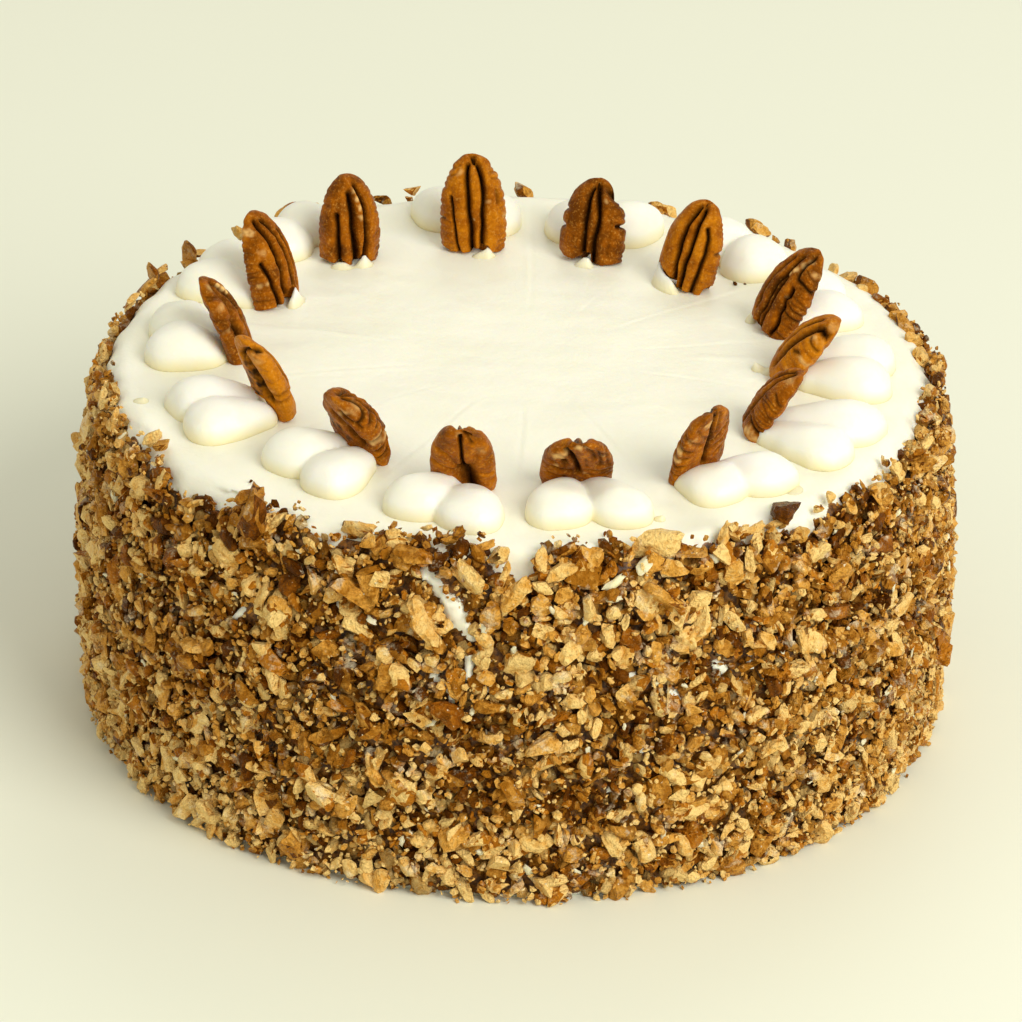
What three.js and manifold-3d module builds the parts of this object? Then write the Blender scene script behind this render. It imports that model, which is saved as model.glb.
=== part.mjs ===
// A whole carrot cake: an iced round cake coated with chopped pecans, with a ring of piped pairs
// and a pecan half standing against each pair. Millimetres, +Z up, z = 0 is the face it rests on.

import * as THREE from 'three';
import { mergeVertices } from 'three/addons/utils/BufferGeometryUtils.js';
import Module from 'manifold-3d';

const wasm = await Module();
wasm.setup();

// The iced cake under its coat of nuts
const iceHeight = 86.5;
const flatTopRadius = 92.5;
const shoulder = { drop: 7.5, reach: 6.3, steps: 2 };
const wall = { base: 101, waist: 102.4, waistHeight: 36, rim: 98.8 };
const coatSegments = 141;        // a multiple of crestEvery, so that the nuts close up round the wall
const coatRows = 16;
const crestEvery = 3;            // grid points from one nut's crest to the next
const coatRelief = 4.2;          // how far a chopped nut can stand out of the wall
const nutCrest = [0.45, 1];      // the shares of it at a nut's crest
const nutSeam = [0, 0.2];        // and in the dips between nuts
const coatJitter = 0.3;          // share of a cell that a point is shifted sideways and up

// Larger pieces of nut, fused to the wall, to its rim and, where they ride over it, to the shoulder
const wallChunks = { count: 18, long: 11, wide: 7.5, thick: 5.5, lowest: 8, highest: 70 };
const rimChunks = { count: 26, long: 9, wide: 6.5, thick: 5, lowest: 77, highest: 83.5 };
const strayChunks = { count: 12, long: 6.5, wide: 5.5, thick: 4.2, lowest: 85, highest: 86.8 };
const wholeTurn = [0, 360];
const sidesAndBack = [-25, 215]; // the azimuths where scraps stand up past the rim
const goldenShare = (Math.sqrt(5) - 1) / 2;
const chunkSpread = 0.28;        // sizes vary by this share
const chunkCrumple = 0.2;        // corners are pushed in and out by this share
const chunkTilt = 0.4;           // radians out of the wall
const chunkProud = 1;            // a chunk's middle stands this far out of the coat's middle

// The ring of pecan halves and piped pairs
const slices = 14;
const ringCentre = { x: 0.7, y: -1.6 };
const pecanRing = 64;
const firstAzimuth = -104.4;     // degrees, counter-clockwise from +X
const pecan = { length: 30, width: 15.6, thickness: 8.4, pressedIn: 5.5, bend: 1.3 };
const pecanRings = 6;
const tipCrowding = 1.5;         // above 1, the rings lie closer together towards the tip
const pecanBlunt = { skew: 0.8, fullness: 2.6, roundness: 0.55 };   // how full its ends are
const restGap = 0.3;             // a piece stays this far clear of what it rests on

// Each half stands a little differently, and so does its pair: turn, lean and tilt in degrees,
// out and wide in millimetres, then the pair's turn from the nut and its reach
const halves = [
  { turn: 2.5, out: -1, lean: 25, tilt: 4, wide: -0.6, pairTurn: 0.7, pairReach: -0.5 },
  { turn: 0.5, out: -1, lean: 32, tilt: -7, wide: 1, pairTurn: 0, pairReach: 0 },
  { turn: 0, out: 1.5, lean: 23, tilt: -6, wide: -0.4, pairTurn: 1, pairReach: 0.5 },
  { turn: -4, out: -1, lean: 31, tilt: 8, wide: -0.4, pairTurn: 2.2, pairReach: 2.5 },
  { turn: -1, out: 0.5, lean: 25, tilt: -6, wide: -1, pairTurn: -0.8, pairReach: 1 },
  { turn: -2.5, out: -1, lean: 19, tilt: -7, wide: 0.4, pairTurn: 1.4, pairReach: 0 },
  { turn: -0.5, out: -4, lean: 13, tilt: -6, wide: -0.8, pairTurn: -1, pairReach: 1 },
  { turn: -1.5, out: -2, lean: 2, tilt: -4, wide: 0, pairTurn: 1, pairReach: -2 },
  { turn: 0, out: 1.5, lean: 4, tilt: 1, wide: 0.6, pairTurn: -1, pairReach: 0 },
  { turn: 0, out: 5, lean: 3, tilt: 2, wide: -0.8, pairTurn: 4, pairReach: 6 },
  { turn: 0.5, out: 2.5, lean: 10, tilt: 0, wide: -0.6, pairTurn: 1.2, pairReach: 4 },
  { turn: -1, out: 4, lean: 16, tilt: 8, wide: -2, pairTurn: -0.6, pairReach: 1.5 },
  { turn: 2, out: -1, lean: 23, tilt: 2, wide: -1.4, pairTurn: -1, pairReach: -0.5 },
  { turn: 4, out: -3.5, lean: 27, tilt: -2, wide: -0.6, pairTurn: -1.3, pairReach: -1 },
];

// One half of a nut across: how far from the middle and how high, as shares of half the width
// and of the thickness. The ridged back comes first, then the folded inner face.
const ridgedBack = [
  [1, 0], [0.9, 0.42], [0.6, 0.66], [0.24, 0.3], [0, 0.58], [-0.24, 0.3], [-0.6, 0.66], [-0.9, 0.42],
];
const foldedFace = [
  [-1, 0], [-0.72, -0.32], [-0.42, -0.12], [-0.16, -0.3], [0, -0.06], [0.16, -0.3], [0.42, -0.12], [0.72, -0.32],
];

// A piped shell: a fat round end outward and a tail that runs in to the pecan
const shell = { width: 15.6, height: 7.8, roundEnd: 8, tailEnd: 66.5, middle: 79.5, spread: 5.2 };
const shellRings = 5;
const shellArc = 6;              // facets over the top of a ring
const tailCrowding = 1.2;
const tailShare = 0.3;           // the tail's width and height beside the round end's
const tailAside = 0.12;          // share of a shell's width that its tail starts beside the middle
const shellVariation = 0.04;

const sameSpot = 1e-4;           // points closer than this are one
const seed = 11;
const random = THREE.MathUtils.seededRandom;
random(seed);

function between(low, high) {
  return low + (high - low) * random();
}

function varied(size, share) {
  return size * between(1 - share, 1 + share);
}

// A closed geometry as a solid, with shared vertices merged and pinched triangles dropped
function toSolid(geometry) {
  geometry.deleteAttribute('normal');
  geometry.deleteAttribute('uv');
  const merged = mergeVertices(geometry, sameSpot);
  const corners = merged.index.array;
  const kept = [];
  for (let i = 0; i < corners.length; i += 3) {
    const [a, b, c] = [corners[i], corners[i + 1], corners[i + 2]];
    if (a !== b && b !== c && c !== a) {
      kept.push(a, b, c);
    }
  }
  const vertProperties = new Float32Array(merged.attributes.position.array);
  const triVerts = new Uint32Array(kept);
  return new wasm.Manifold(new wasm.Mesh({ numProp: 3, vertProperties, triVerts }));
}

function largestPiece(solid) {
  const pieces = solid.decompose();
  return pieces.reduce((best, piece) => (piece.volume() > best.volume() ? piece : best));
}

function toMesh(solid, name, material) {
  const { vertProperties, triVerts } = solid.getMesh();
  const geometry = new THREE.BufferGeometry();
  geometry.setAttribute('position', new THREE.BufferAttribute(vertProperties, 3));
  geometry.setIndex(new THREE.BufferAttribute(triVerts, 1));
  geometry.computeVertexNormals();
  const mesh = new THREE.Mesh(geometry, material);
  mesh.name = name;
  return mesh;
}

// A closed skin over rings of points, with a pole at each end
function skinOverRings(rings, firstPole, lastPole) {
  const around = rings[0].length;
  const points = [firstPole, ...rings.flat(), lastPole];
  const last = points.length - 1;
  const corners = [];
  for (let k = 0; k < around; k++) {
    const next = (k + 1) % around;
    corners.push(0, 1 + next, 1 + k);
    for (let r = 0; r < rings.length - 1; r++) {
      const low = 1 + r * around;
      const high = low + around;
      corners.push(low + k, low + next, high + next, low + k, high + next, high + k);
    }
    const top = last - around;
    corners.push(top + k, top + next, last);
  }
  const geometry = new THREE.BufferGeometry().setFromPoints(points);
  geometry.setIndex(corners);
  return geometry;
}

// The cake's profile from the middle of its base, up the wall and over the shoulder to the top
function cakeProfile() {
  const wallTop = iceHeight - shoulder.drop;
  const side = new THREE.SplineCurve([
    new THREE.Vector2(wall.base, 0),
    new THREE.Vector2(wall.waist, wall.waistHeight),
    new THREE.Vector2(wall.rim, wallTop),
  ]);
  const profile = [new THREE.Vector2(0, 0), ...side.getSpacedPoints(coatRows)];
  for (let i = 1; i <= shoulder.steps; i++) {
    const turn = (Math.PI / 2) * (i / shoulder.steps);
    const radius = flatTopRadius + shoulder.reach * Math.cos(turn);
    profile.push(new THREE.Vector2(radius, wallTop + shoulder.drop * Math.sin(turn)));
  }
  profile.push(new THREE.Vector2(0, iceHeight));
  return profile;
}

// The wall's grid of triangles, with each row set half a cell on from the row below. Every third
// point is the crest of a chopped nut, and the six round it are its seam, all shifted a little.
// The lowest row keeps its height, so that the cake rests flat.
function cakeBody() {
  const profile = cakeProfile();
  const geometry = new THREE.LatheGeometry(profile, coatSegments);
  geometry.rotateX(Math.PI / 2);
  const position = geometry.attributes.position;
  const cellTurn = (2 * Math.PI) / coatSegments;
  const cellRise = (iceHeight - shoulder.drop) / coatRows;
  const lastRow = coatRows + 1;
  const crags = [];
  for (let segment = 0; segment < coatSegments; segment++) {
    for (let row = 0; row <= lastRow; row++) {
      const isCrest = (segment + 2 * row) % crestEvery === 0;
      const [least, most] = isCrest ? nutCrest : nutSeam;
      crags.push({
        out: coatRelief * between(least, most),
        turn: cellTurn * (row / 2 + between(-coatJitter, coatJitter)),
        rise: cellRise * between(-coatJitter, coatJitter),
      });
    }
  }
  for (let i = 0; i < position.count; i++) {
    const row = i % profile.length;
    const segment = Math.floor(i / profile.length) % coatSegments;
    const angle = Math.atan2(position.getY(i), position.getX(i));
    const radius = Math.hypot(position.getX(i), position.getY(i));
    const height = position.getZ(i);
    const crag = crags[segment * (lastRow + 1) + Math.min(row, lastRow)];
    const inCoat = row > 0 && row <= lastRow;
    const turned = inCoat ? angle + crag.turn : angle + (cellTurn * Math.min(row, lastRow)) / 2;
    const pushed = inCoat ? radius + crag.out : radius;
    const raised = row > 1 && row < lastRow ? height + crag.rise : height;
    position.setXYZ(i, pushed * Math.cos(turned), pushed * Math.sin(turned), raised);
  }
  return toSolid(geometry);
}

// An angular scrap of nut, about 20 facets
function chunk(size) {
  const geometry = new THREE.IcosahedronGeometry(0.5, 0);
  geometry.deleteAttribute('normal');
  geometry.deleteAttribute('uv');
  const merged = mergeVertices(geometry);
  const position = merged.attributes.position;
  for (let i = 0; i < position.count; i++) {
    const push = varied(1, chunkCrumple);
    position.setXYZ(i, position.getX(i) * push, position.getY(i) * push, position.getZ(i) * push);
  }
  merged.scale(
    varied(size.thick, chunkSpread),
    varied(size.long, chunkSpread),
    varied(size.wide, chunkSpread),
  );
  return merged;
}

// How far out the middle of the coat lies at a height, on the wall and over the shoulder
function coatRadiusAt(height) {
  const wallTop = iceHeight - shoulder.drop;
  if (height > wallTop) {
    const rise = Math.min((height - wallTop) / shoulder.drop, 1);
    return flatTopRadius + shoulder.reach * Math.sqrt(1 - rise * rise) + coatRelief / 2;
  }
  const share = (height - wall.waistHeight) / (wallTop - wall.waistHeight);
  return THREE.MathUtils.lerp(wall.waist, wall.rim, Math.max(share, 0) ** 2) + coatRelief / 2;
}

// Chunks spread evenly over a band, by the golden section up it and by equal steps round it
function chunkBand(band, [from, to]) {
  const solids = [];
  for (let i = 0; i < band.count; i++) {
    const step = (to - from) / band.count;
    const azimuth = from + step * (i + between(-coatJitter, coatJitter));
    const height = THREE.MathUtils.lerp(band.lowest, band.highest, (i * goldenShare) % 1);
    const geometry = chunk(band);
    geometry.rotateX(between(0, Math.PI));
    geometry.rotateY(between(-chunkTilt, chunkTilt));
    geometry.translate(coatRadiusAt(height) + chunkProud * random(), 0, height);
    geometry.rotateZ(THREE.MathUtils.degToRad(azimuth));
    solids.push(toSolid(geometry));
  }
  return solids;
}

function icedCake() {
  const chunks = [
    ...chunkBand(wallChunks, wholeTurn),
    ...chunkBand(rimChunks, wholeTurn),
    ...chunkBand(strayChunks, sidesAndBack),
  ];
  const whole = chunks.reduce((solid, scrap) => solid.add(scrap), cakeBody());
  return largestPiece(whole);
}

// A pecan half along +Z with its ridged back towards -X, from its pressed-in end up to its tip.
// grow thickens it all round, for the room it needs in a piped pair.
function pecanHalf(half, grow) {
  const section = [...ridgedBack, ...foldedFace];
  const halfWidth = (pecan.width + half.wide) / 2;
  const bentAt = (share) => pecan.bend * (2 * share - 1) ** 2;
  const rings = [];
  for (let r = 1; r <= pecanRings; r++) {
    const share = 1 - (1 - r / (pecanRings + 1)) ** tipCrowding;
    const fromWidest = Math.abs(2 * share ** pecanBlunt.skew - 1);
    const girth = (1 - fromWidest ** pecanBlunt.fullness) ** pecanBlunt.roundness;
    rings.push(section.map(([across, high]) => new THREE.Vector3(
      bentAt(share) - pecan.thickness * high * girth - grow * Math.sign(high),
      across * (halfWidth * girth + grow),
      share * (pecan.length + grow) - pecan.pressedIn,
    )));
  }
  const foot = new THREE.Vector3(bentAt(0), 0, -pecan.pressedIn);
  const tip = new THREE.Vector3(bentAt(1), 0, pecan.length + grow - pecan.pressedIn);
  const geometry = skinOverRings(rings, foot, tip);
  geometry.rotateX(THREE.MathUtils.degToRad(-half.tilt));
  geometry.rotateY(THREE.MathUtils.degToRad(half.lean));
  geometry.translate(pecanRing + half.out, 0, 0);
  return toSolid(geometry);
}

// What lies above the icing, as a block to keep only that part of a piece
function aboveIcing() {
  const size = 2 * pecanRing;
  const geometry = new THREE.BoxGeometry(size, size, size);
  geometry.translate(pecanRing, 0, size / 2 + restGap);
  return toSolid(geometry);
}

// One piped shell from its tail to its round end, flat underneath, left or right of +X
function pipedShell(side, reach) {
  const scale = varied(1, shellVariation);
  const aside = THREE.MathUtils.degToRad(shell.spread * side);
  const tail = new THREE.Vector2(shell.tailEnd, side * shell.width * tailAside);
  const middle = new THREE.Vector2(shell.middle + reach, 0).rotateAround(new THREE.Vector2(), aside);
  const along = middle.clone().sub(tail).normalize();
  const length = middle.distanceTo(tail) + shell.roundEnd;
  const fattest = 1 - shell.roundEnd / length;
  const rings = [];
  for (let r = 1; r <= shellRings; r++) {
    const share = 1 - (1 - r / (shellRings + 1)) ** tailCrowding;
    const pastMiddle = (share - fattest) / (1 - fattest);
    const beforeMiddle = THREE.MathUtils.smoothstep(share, 0, fattest);
    const girth = share > fattest
      ? Math.sqrt(1 - pastMiddle ** 2)
      : THREE.MathUtils.lerp(tailShare, 1, beforeMiddle);
    const centre = tail.clone().addScaledVector(along, share * length);
    const ring = [];
    for (let k = 0; k <= shellArc; k++) {
      const turn = (Math.PI * k) / shellArc;
      const across = (shell.width / 2) * scale * girth * Math.cos(turn);
      const high = shell.height * scale * girth * Math.sin(turn);
      ring.push(new THREE.Vector3(centre.x - along.y * across, centre.y + along.x * across, restGap + high));
    }
    rings.push(ring);
  }
  const end = tail.clone().addScaledVector(along, length);
  const geometry = skinOverRings(
    rings,
    new THREE.Vector3(tail.x, tail.y, restGap),
    new THREE.Vector3(end.x, end.y, restGap),
  );
  return toSolid(geometry);
}

const icingMaterial = new THREE.MeshStandardMaterial({ color: 0xf4efd8, roughness: 0.45, metalness: 0 });
const coatMaterial = new THREE.MeshStandardMaterial({ color: 0xa87a45, roughness: 0.75, metalness: 0 });
const pecanMaterial = new THREE.MeshStandardMaterial({ color: 0x8a4f1f, roughness: 0.5, metalness: 0 });

const cake = new THREE.Group();
cake.add(toMesh(icedCake(), 'iced_cake', coatMaterial));

const headroom = aboveIcing();
halves.forEach((half, i) => {
  const spoke = new THREE.Group();
  const number = String(i + 1).padStart(2, '0');
  spoke.position.set(ringCentre.x, ringCentre.y, iceHeight);
  spoke.rotation.z = THREE.MathUtils.degToRad(firstAzimuth + (360 / slices) * i + half.turn);
  const nut = pecanHalf(half, 0).intersect(headroom);
  const shells = pipedShell(1, half.pairReach).add(pipedShell(-1, half.pairReach));
  const pair = shells.rotate([0, 0, half.pairTurn]).subtract(pecanHalf(half, restGap));
  spoke.add(toMesh(largestPiece(nut), `pecan_half_${number}`, pecanMaterial));
  spoke.add(toMesh(largestPiece(pair), `piped_pair_${number}`, icingMaterial));
  cake.add(spoke);
});

export default cake;
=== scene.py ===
import math

import bmesh
import bpy
import numpy as np
from mathutils import Matrix, Vector


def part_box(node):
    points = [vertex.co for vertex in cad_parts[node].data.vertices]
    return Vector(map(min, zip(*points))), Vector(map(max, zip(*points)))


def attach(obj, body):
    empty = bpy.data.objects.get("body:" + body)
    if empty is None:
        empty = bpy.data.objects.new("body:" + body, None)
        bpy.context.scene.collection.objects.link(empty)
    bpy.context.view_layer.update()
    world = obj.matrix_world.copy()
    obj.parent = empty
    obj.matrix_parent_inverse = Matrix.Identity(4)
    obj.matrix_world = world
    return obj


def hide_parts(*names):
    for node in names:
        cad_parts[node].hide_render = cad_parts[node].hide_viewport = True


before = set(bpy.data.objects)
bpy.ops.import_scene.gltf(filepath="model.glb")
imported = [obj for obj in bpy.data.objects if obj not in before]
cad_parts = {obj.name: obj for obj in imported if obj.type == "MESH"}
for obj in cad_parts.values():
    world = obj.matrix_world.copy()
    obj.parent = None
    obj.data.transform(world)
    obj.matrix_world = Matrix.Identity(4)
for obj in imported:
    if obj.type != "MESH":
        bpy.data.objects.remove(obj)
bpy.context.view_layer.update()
print("frame loaded:", len(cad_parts), "nodes")

mm = 0.001

# where the ring of nuts and piped pairs stands, the same as in the solids
ring = {
    "slices": 14,
    "centre": (0.7 * mm, -1.6 * mm),
    "radius": 64 * mm,
    "firstAzimuth": -104.4,
}
restGap = 0.3 * mm                       # the solids keep this far clear of the icing
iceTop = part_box("piped_pair_01")[0].z - restGap

# each half: turn, lean, tilt and spin in degrees, lengths in mm
halves = [
    dict(turn=3.4, out=0.3, lean=26, tilt=1, spin=11, long=28.8, thick=8.5, wide=14.9),
    dict(turn=0.8, out=-3.5, lean=38, tilt=-6, spin=-8, long=28.6, thick=6.4, wide=16.6),
    dict(turn=-1.1, out=3.6, lean=22, tilt=-6, spin=9, long=29.4, thick=5.9, wide=15.7),
    dict(turn=-2.3, out=-1.3, lean=29, tilt=5, spin=22, long=25.0, thick=6.5, wide=15.4),
    dict(turn=-1.2, out=-1.2, lean=32, tilt=-8, spin=-3, long=26.2, thick=8.1, wide=14.5),
    dict(turn=-3.2, out=-0.1, lean=24, tilt=-10, spin=8, long=29.0, thick=7.4, wide=16.3),
    dict(turn=-0.5, out=-4.0, lean=12, tilt=-7, spin=11, long=28.4, thick=7.5, wide=15.5),
    dict(turn=-1.1, out=-3.1, lean=10, tilt=-2, spin=2, long=26.7, thick=6.5, wide=16.6),
    dict(turn=0, out=0.7, lean=11, tilt=0, spin=-8, long=29.9, thick=7.3, wide=16.7),
    dict(turn=0.5, out=7.2, lean=5, tilt=-2, spin=-15, long=27.4, thick=8.8, wide=15.7),
    dict(turn=0.4, out=3.2, lean=15, tilt=1, spin=-11, long=29.4, thick=7.6, wide=14.9),
    dict(turn=0.1, out=3.5, lean=20, tilt=8, spin=2, long=28.6, thick=6.7, wide=13.3),
    dict(turn=2.0, out=-0.9, lean=21, tilt=-1, spin=8, long=28.6, thick=6.8, wide=14.4),
    dict(turn=3.8, out=-4.8, lean=29, tilt=-1, spin=-12, long=28.2, thick=8.8, wide=15.9),
]

# each pair: its turn in degrees, then for the counter-clockwise and the clockwise shell how far its
# middle is from the ring's centre and from the pair's line, its width, height and its tail's height, in mm
pairs = [
    dict(turn=2.1, shells=((78, 5.8, 16, 6.4, 2.6), (75, 5.8, 16.4, 7.1, 4.8))),
    dict(turn=0.6, shells=((77, 6.9, 14.4, 5.9, 3), (75, 6.8, 15.4, 7, 2.8))),
    dict(turn=2.6, shells=((78, 5.5, 16, 6.6, 4), (75, 5.5, 15.8, 6, 3))),
    dict(turn=0.1, shells=((81.5, 6.4, 16, 7.4, 5), (80, 6.4, 16, 6, 4.5))),
    dict(turn=-0.9, shells=((79.5, 5.8, 16.5, 7.8, 4.6), (78.5, 5.8, 16.3, 7.6, 4.6))),
    dict(turn=0.4, shells=((79.5, 6, 16.4, 7.4, 3), (78, 5.3, 15.7, 7.1, 3.6))),
    dict(turn=-0.8, shells=((81.5, 6.3, 16.5, 8, 0), (79, 6.2, 15.1, 8.4, 0))),
    dict(turn=-0.1, shells=((77, 6.4, 16.5, 6.8, 0), (79, 6.3, 16.4, 8, 0))),
    dict(turn=-1, shells=((84, 5.2, 16.3, 7.4, 0), (79, 5.2, 16.2, 7.4, 0))),
    dict(turn=4.6, shells=((86, 5, 16, 7.5, 0), (88.5, 5.6, 15.2, 8, 0))),
    dict(turn=-1.6, shells=((83.5, 5.1, 15.6, 7.5, 4), (84.5, 5.2, 16.4, 8.2, 4))),
    dict(turn=-2.4, shells=((80, 5.7, 16.6, 8, 3), (81, 5.8, 16.5, 7.7, 4.2))),
    dict(turn=0.2, shells=((78.5, 5.2, 15.7, 7.1, 4.4), (78, 5.1, 16.4, 7.5, 5))),
    dict(turn=1.9, shells=((75, 6, 14.8, 7, 4.8), (72, 6, 16.3, 8, 5.4))),
]

# points of icing left where the bag or knife was lifted: x, y, height, width and lean of the tip, in mm
icingPeaks = [
    (-56.6, -31.2, 6.0, 1.5, (1.4, 0.6)), (57.0, -1.5, 2.6, 1.7, (-1.6, 0.3)),
    (59.2, -2.6, 1.6, 2.4, (1.5, 0)),
    (42.0, -51.4, 2.4, 1.0, (0.3, 0.2)), (32.2, -78.0, 1.6, 1.4, (1.2, -0.4)),
    (80.5, 3.2, 8.4, 1.6, (0.6, 0.5)),
    (-88.0, -26.0, 1.2, 2.0, (0.8, 0.3)), (62.5, -62.0, 0.9, 2.6, (1.2, 0.8)),
]


# ---- camera, floor and light
cameraSetup = {
    "lens": 176.1,
    "distance": 1.230,
    "elevation": 29.93,
    "lookDown": 28.04,
    "yaw": -0.06,
    "roll": 1.38,
}


def makeCamera():
    elevation = math.radians(cameraSetup["elevation"])
    data = bpy.data.cameras.new("camera")
    data.lens = cameraSetup["lens"]
    data.sensor_width = 36
    camera = bpy.data.objects.new("camera", data)
    bpy.context.scene.collection.objects.link(camera)
    camera.matrix_world = (
        Matrix.Translation((0, -cameraSetup["distance"] * math.cos(elevation),
                            cameraSetup["distance"] * math.sin(elevation)))
        @ Matrix.Rotation(math.radians(-cameraSetup["yaw"]), 4, "Z")
        @ Matrix.Rotation(math.radians(90 - cameraSetup["lookDown"]), 4, "X")
        @ Matrix.Rotation(math.radians(cameraSetup["roll"]), 4, "Z")
    )
    bpy.context.scene.camera = camera


studio = {
    "worldColour": (1.0, 0.97, 0.85),
    "worldStrength": 0.60,
    "key": dict(place=(1.05, -1.15, 1.2), size=1.3, power=29, colour=(1.0, 0.985, 0.93)),
    "fill": dict(place=(-1.3, -0.6, 1.0), size=1.4, power=1.6, colour=(1.0, 0.98, 0.9)),
    "back": dict(place=(0.3, 1.3, 1.3), size=1.0, power=3.5, colour=(1.0, 1.0, 0.95)),
    "floorColour": (0.85, 0.87, 0.73),
}


def makeLight(name, setup):
    data = bpy.data.lights.new(name, "AREA")
    data.shape = "DISK"
    data.size = setup["size"]
    data.energy = setup["power"]
    data.color = setup["colour"]
    light = bpy.data.objects.new(name, data)
    light.location = setup["place"]
    light.rotation_euler = (-Vector(setup["place"])).to_track_quat("-Z", "Y").to_euler()
    bpy.context.scene.collection.objects.link(light)


def makeStudio():
    world = bpy.data.worlds.new("soft room")
    world.use_nodes = True
    background = world.node_tree.nodes["Background"]
    background.inputs["Color"].default_value = (*studio["worldColour"], 1)
    background.inputs["Strength"].default_value = studio["worldStrength"]
    bpy.context.scene.world = world
    for name in ("key", "fill", "back"):
        makeLight(name, studio[name])
    bm = bmesh.new()
    bmesh.ops.create_grid(bm, x_segments=1, y_segments=1, size=4)
    data = bpy.data.meshes.new("floor")
    bm.to_mesh(data)
    bm.free()
    floor = bpy.data.objects.new("floor", data)
    bpy.context.scene.collection.objects.link(floor)
    material = bpy.data.materials.new("pale floor")
    material.use_nodes = True
    shader = material.node_tree.nodes["Principled BSDF"]
    shader.inputs["Base Color"].default_value = (*studio["floorColour"], 1)
    shader.inputs["Roughness"].default_value = 0.6
    data.materials.append(material)
    scene = bpy.context.scene
    scene.view_settings.view_transform = "Standard"
    scene.view_settings.look = "None"


makeCamera()
makeStudio()
print("camera and light set")


# ---- node and mesh helpers
def newMaterial(name):
    material = bpy.data.materials.new(name)
    material.use_nodes = True
    nodes = material.node_tree.nodes
    return material, nodes, material.node_tree.links, nodes["Principled BSDF"]


def addNoise(nodes, links, where, scale, detail=4, roughness=0.55):
    noise = nodes.new("ShaderNodeTexNoise")
    noise.inputs["Scale"].default_value = scale
    noise.inputs["Detail"].default_value = detail
    noise.inputs["Roughness"].default_value = roughness
    links.new(where, noise.inputs["Vector"])
    return noise.outputs["Fac"]


def addRamp(nodes, links, factor, stops):
    ramp = nodes.new("ShaderNodeValToRGB")
    while len(ramp.color_ramp.elements) < len(stops):
        ramp.color_ramp.elements.new(0.5)
    for element, (position, colour) in zip(ramp.color_ramp.elements, stops):
        element.position = position
        element.color = (*colour, 1)
    links.new(factor, ramp.inputs["Fac"])
    return ramp.outputs["Color"]


def addMix(nodes, links, factor, first, second):
    mix = nodes.new("ShaderNodeMix")
    mix.data_type = "RGBA"
    for value, socket in ((factor, mix.inputs[0]), (first, mix.inputs[6]), (second, mix.inputs[7])):
        if isinstance(value, (int, float)):
            socket.default_value = value
        elif isinstance(value, tuple):
            socket.default_value = (*value, 1)
        else:
            links.new(value, socket)
    return mix.outputs[2]


def addMath(nodes, links, operation, first, second=0.0):
    node = nodes.new("ShaderNodeMath")
    node.operation = operation
    for value, socket in ((first, node.inputs[0]), (second, node.inputs[1])):
        if isinstance(value, (int, float)):
            socket.default_value = value
        else:
            links.new(value, socket)
    return node.outputs[0]


def addRange(nodes, links, value, low, high, newLow=0.0, newHigh=1.0):
    node = nodes.new("ShaderNodeMapRange")
    links.new(value, node.inputs["Value"])
    node.inputs["From Min"].default_value = low
    node.inputs["From Max"].default_value = high
    node.inputs["To Min"].default_value = newLow
    node.inputs["To Max"].default_value = newHigh
    return node.outputs["Result"]


def addBump(nodes, links, shader, height, distance):
    bump = nodes.new("ShaderNodeBump")
    bump.inputs["Distance"].default_value = distance
    bump.inputs["Strength"].default_value = 1
    links.new(height, bump.inputs["Height"])
    links.new(bump.outputs["Normal"], shader.inputs["Normal"])


def objectPoints(nodes):
    return nodes.new("ShaderNodeTexCoord").outputs["Object"]


def addMarks(nodes, links, layer):
    # the three shares that a piece carries in its colour attribute
    marks = nodes.new("ShaderNodeVertexColor")
    marks.layer_name = layer
    parts = nodes.new("ShaderNodeSeparateColor")
    links.new(marks.outputs["Color"], parts.inputs["Color"])
    return parts.outputs["Red"], parts.outputs["Green"], parts.outputs["Blue"]


def finishPiece(name, data, material, slot, *replaced):
    data.materials.append(material)
    data.shade_smooth()
    piece = bpy.data.objects.new(name, data)
    bpy.context.scene.collection.objects.link(piece)
    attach(piece, "root")
    if replaced:
        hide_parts(*replaced)
    return piece


def meshFrom(bm, name):
    data = bpy.data.meshes.new(name)
    bm.to_mesh(data)
    bm.free()
    return data


def pointsOf(bm):
    return np.array([vert.co for vert in bm.verts])


def movePoints(bm, points):
    for vert, point in zip(bm.verts, points):
        vert.co = point


def smoothstep(low, high, value):
    share = np.clip((value - low) / (high - low), 0, 1)
    return share * share * (3 - 2 * share)


def bell(value, width):
    return np.exp(-(value / width) ** 2)


def waves(points, size, seed, count=7):
    # smooth unevenness from a few crossing waves, about -1 to 1, size in the points' own units
    draw = np.random.default_rng(seed)
    total = 0
    for _ in range(count):
        direction = draw.normal(size=3)
        direction *= draw.uniform(0.6, 1.5) * 2 * math.pi / size / np.linalg.norm(direction)
        total = total + np.sin(points @ direction + draw.uniform(0, 2 * math.pi))
    return total / math.sqrt(count * 2)


def nearLine(points, stops):
    # how far each point is from a line through the stops
    nearest = np.full(len(points), 999.0)
    for start, end in zip(stops, stops[1:]):
        start, run = np.array(start, float), np.subtract(end, start).astype(float)
        part = np.clip((points - start) @ run / (run @ run), 0, 1)
        nearest = np.minimum(nearest, np.hypot(*(points - start - part[:, None] * run).T))
    return nearest


# ---- icing
icingColours = {
    "coated": ((0.89, 0.88, 0.73), (0.92, 0.91, 0.78)),
    "piped": ((0.94, 0.925, 0.78), (0.95, 0.94, 0.85)),
    # the piping's foot colour is painted shade, the yellowish shade where it meets the cake
    "paintedFootShade": (0.93, 0.78, 0.38),
    # the meal colours are partly the nut meal's own brown and partly painted shade of the gaps between the
    # nuts
    "meal": (0.30, 0.12, 0.012), "mealDarkPaintedShade": (0.06, 0.018, 0.001),
}

# how far light goes into the icing: by colour, then how much of it and how deep for each finish
icingGlow = {"radius": (1.0, 0.82, 0.5), "coated": (0.35, 1.2 * mm), "piped": (0.5, 4.0 * mm)}
icingRelief = 0.25 * mm


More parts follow.
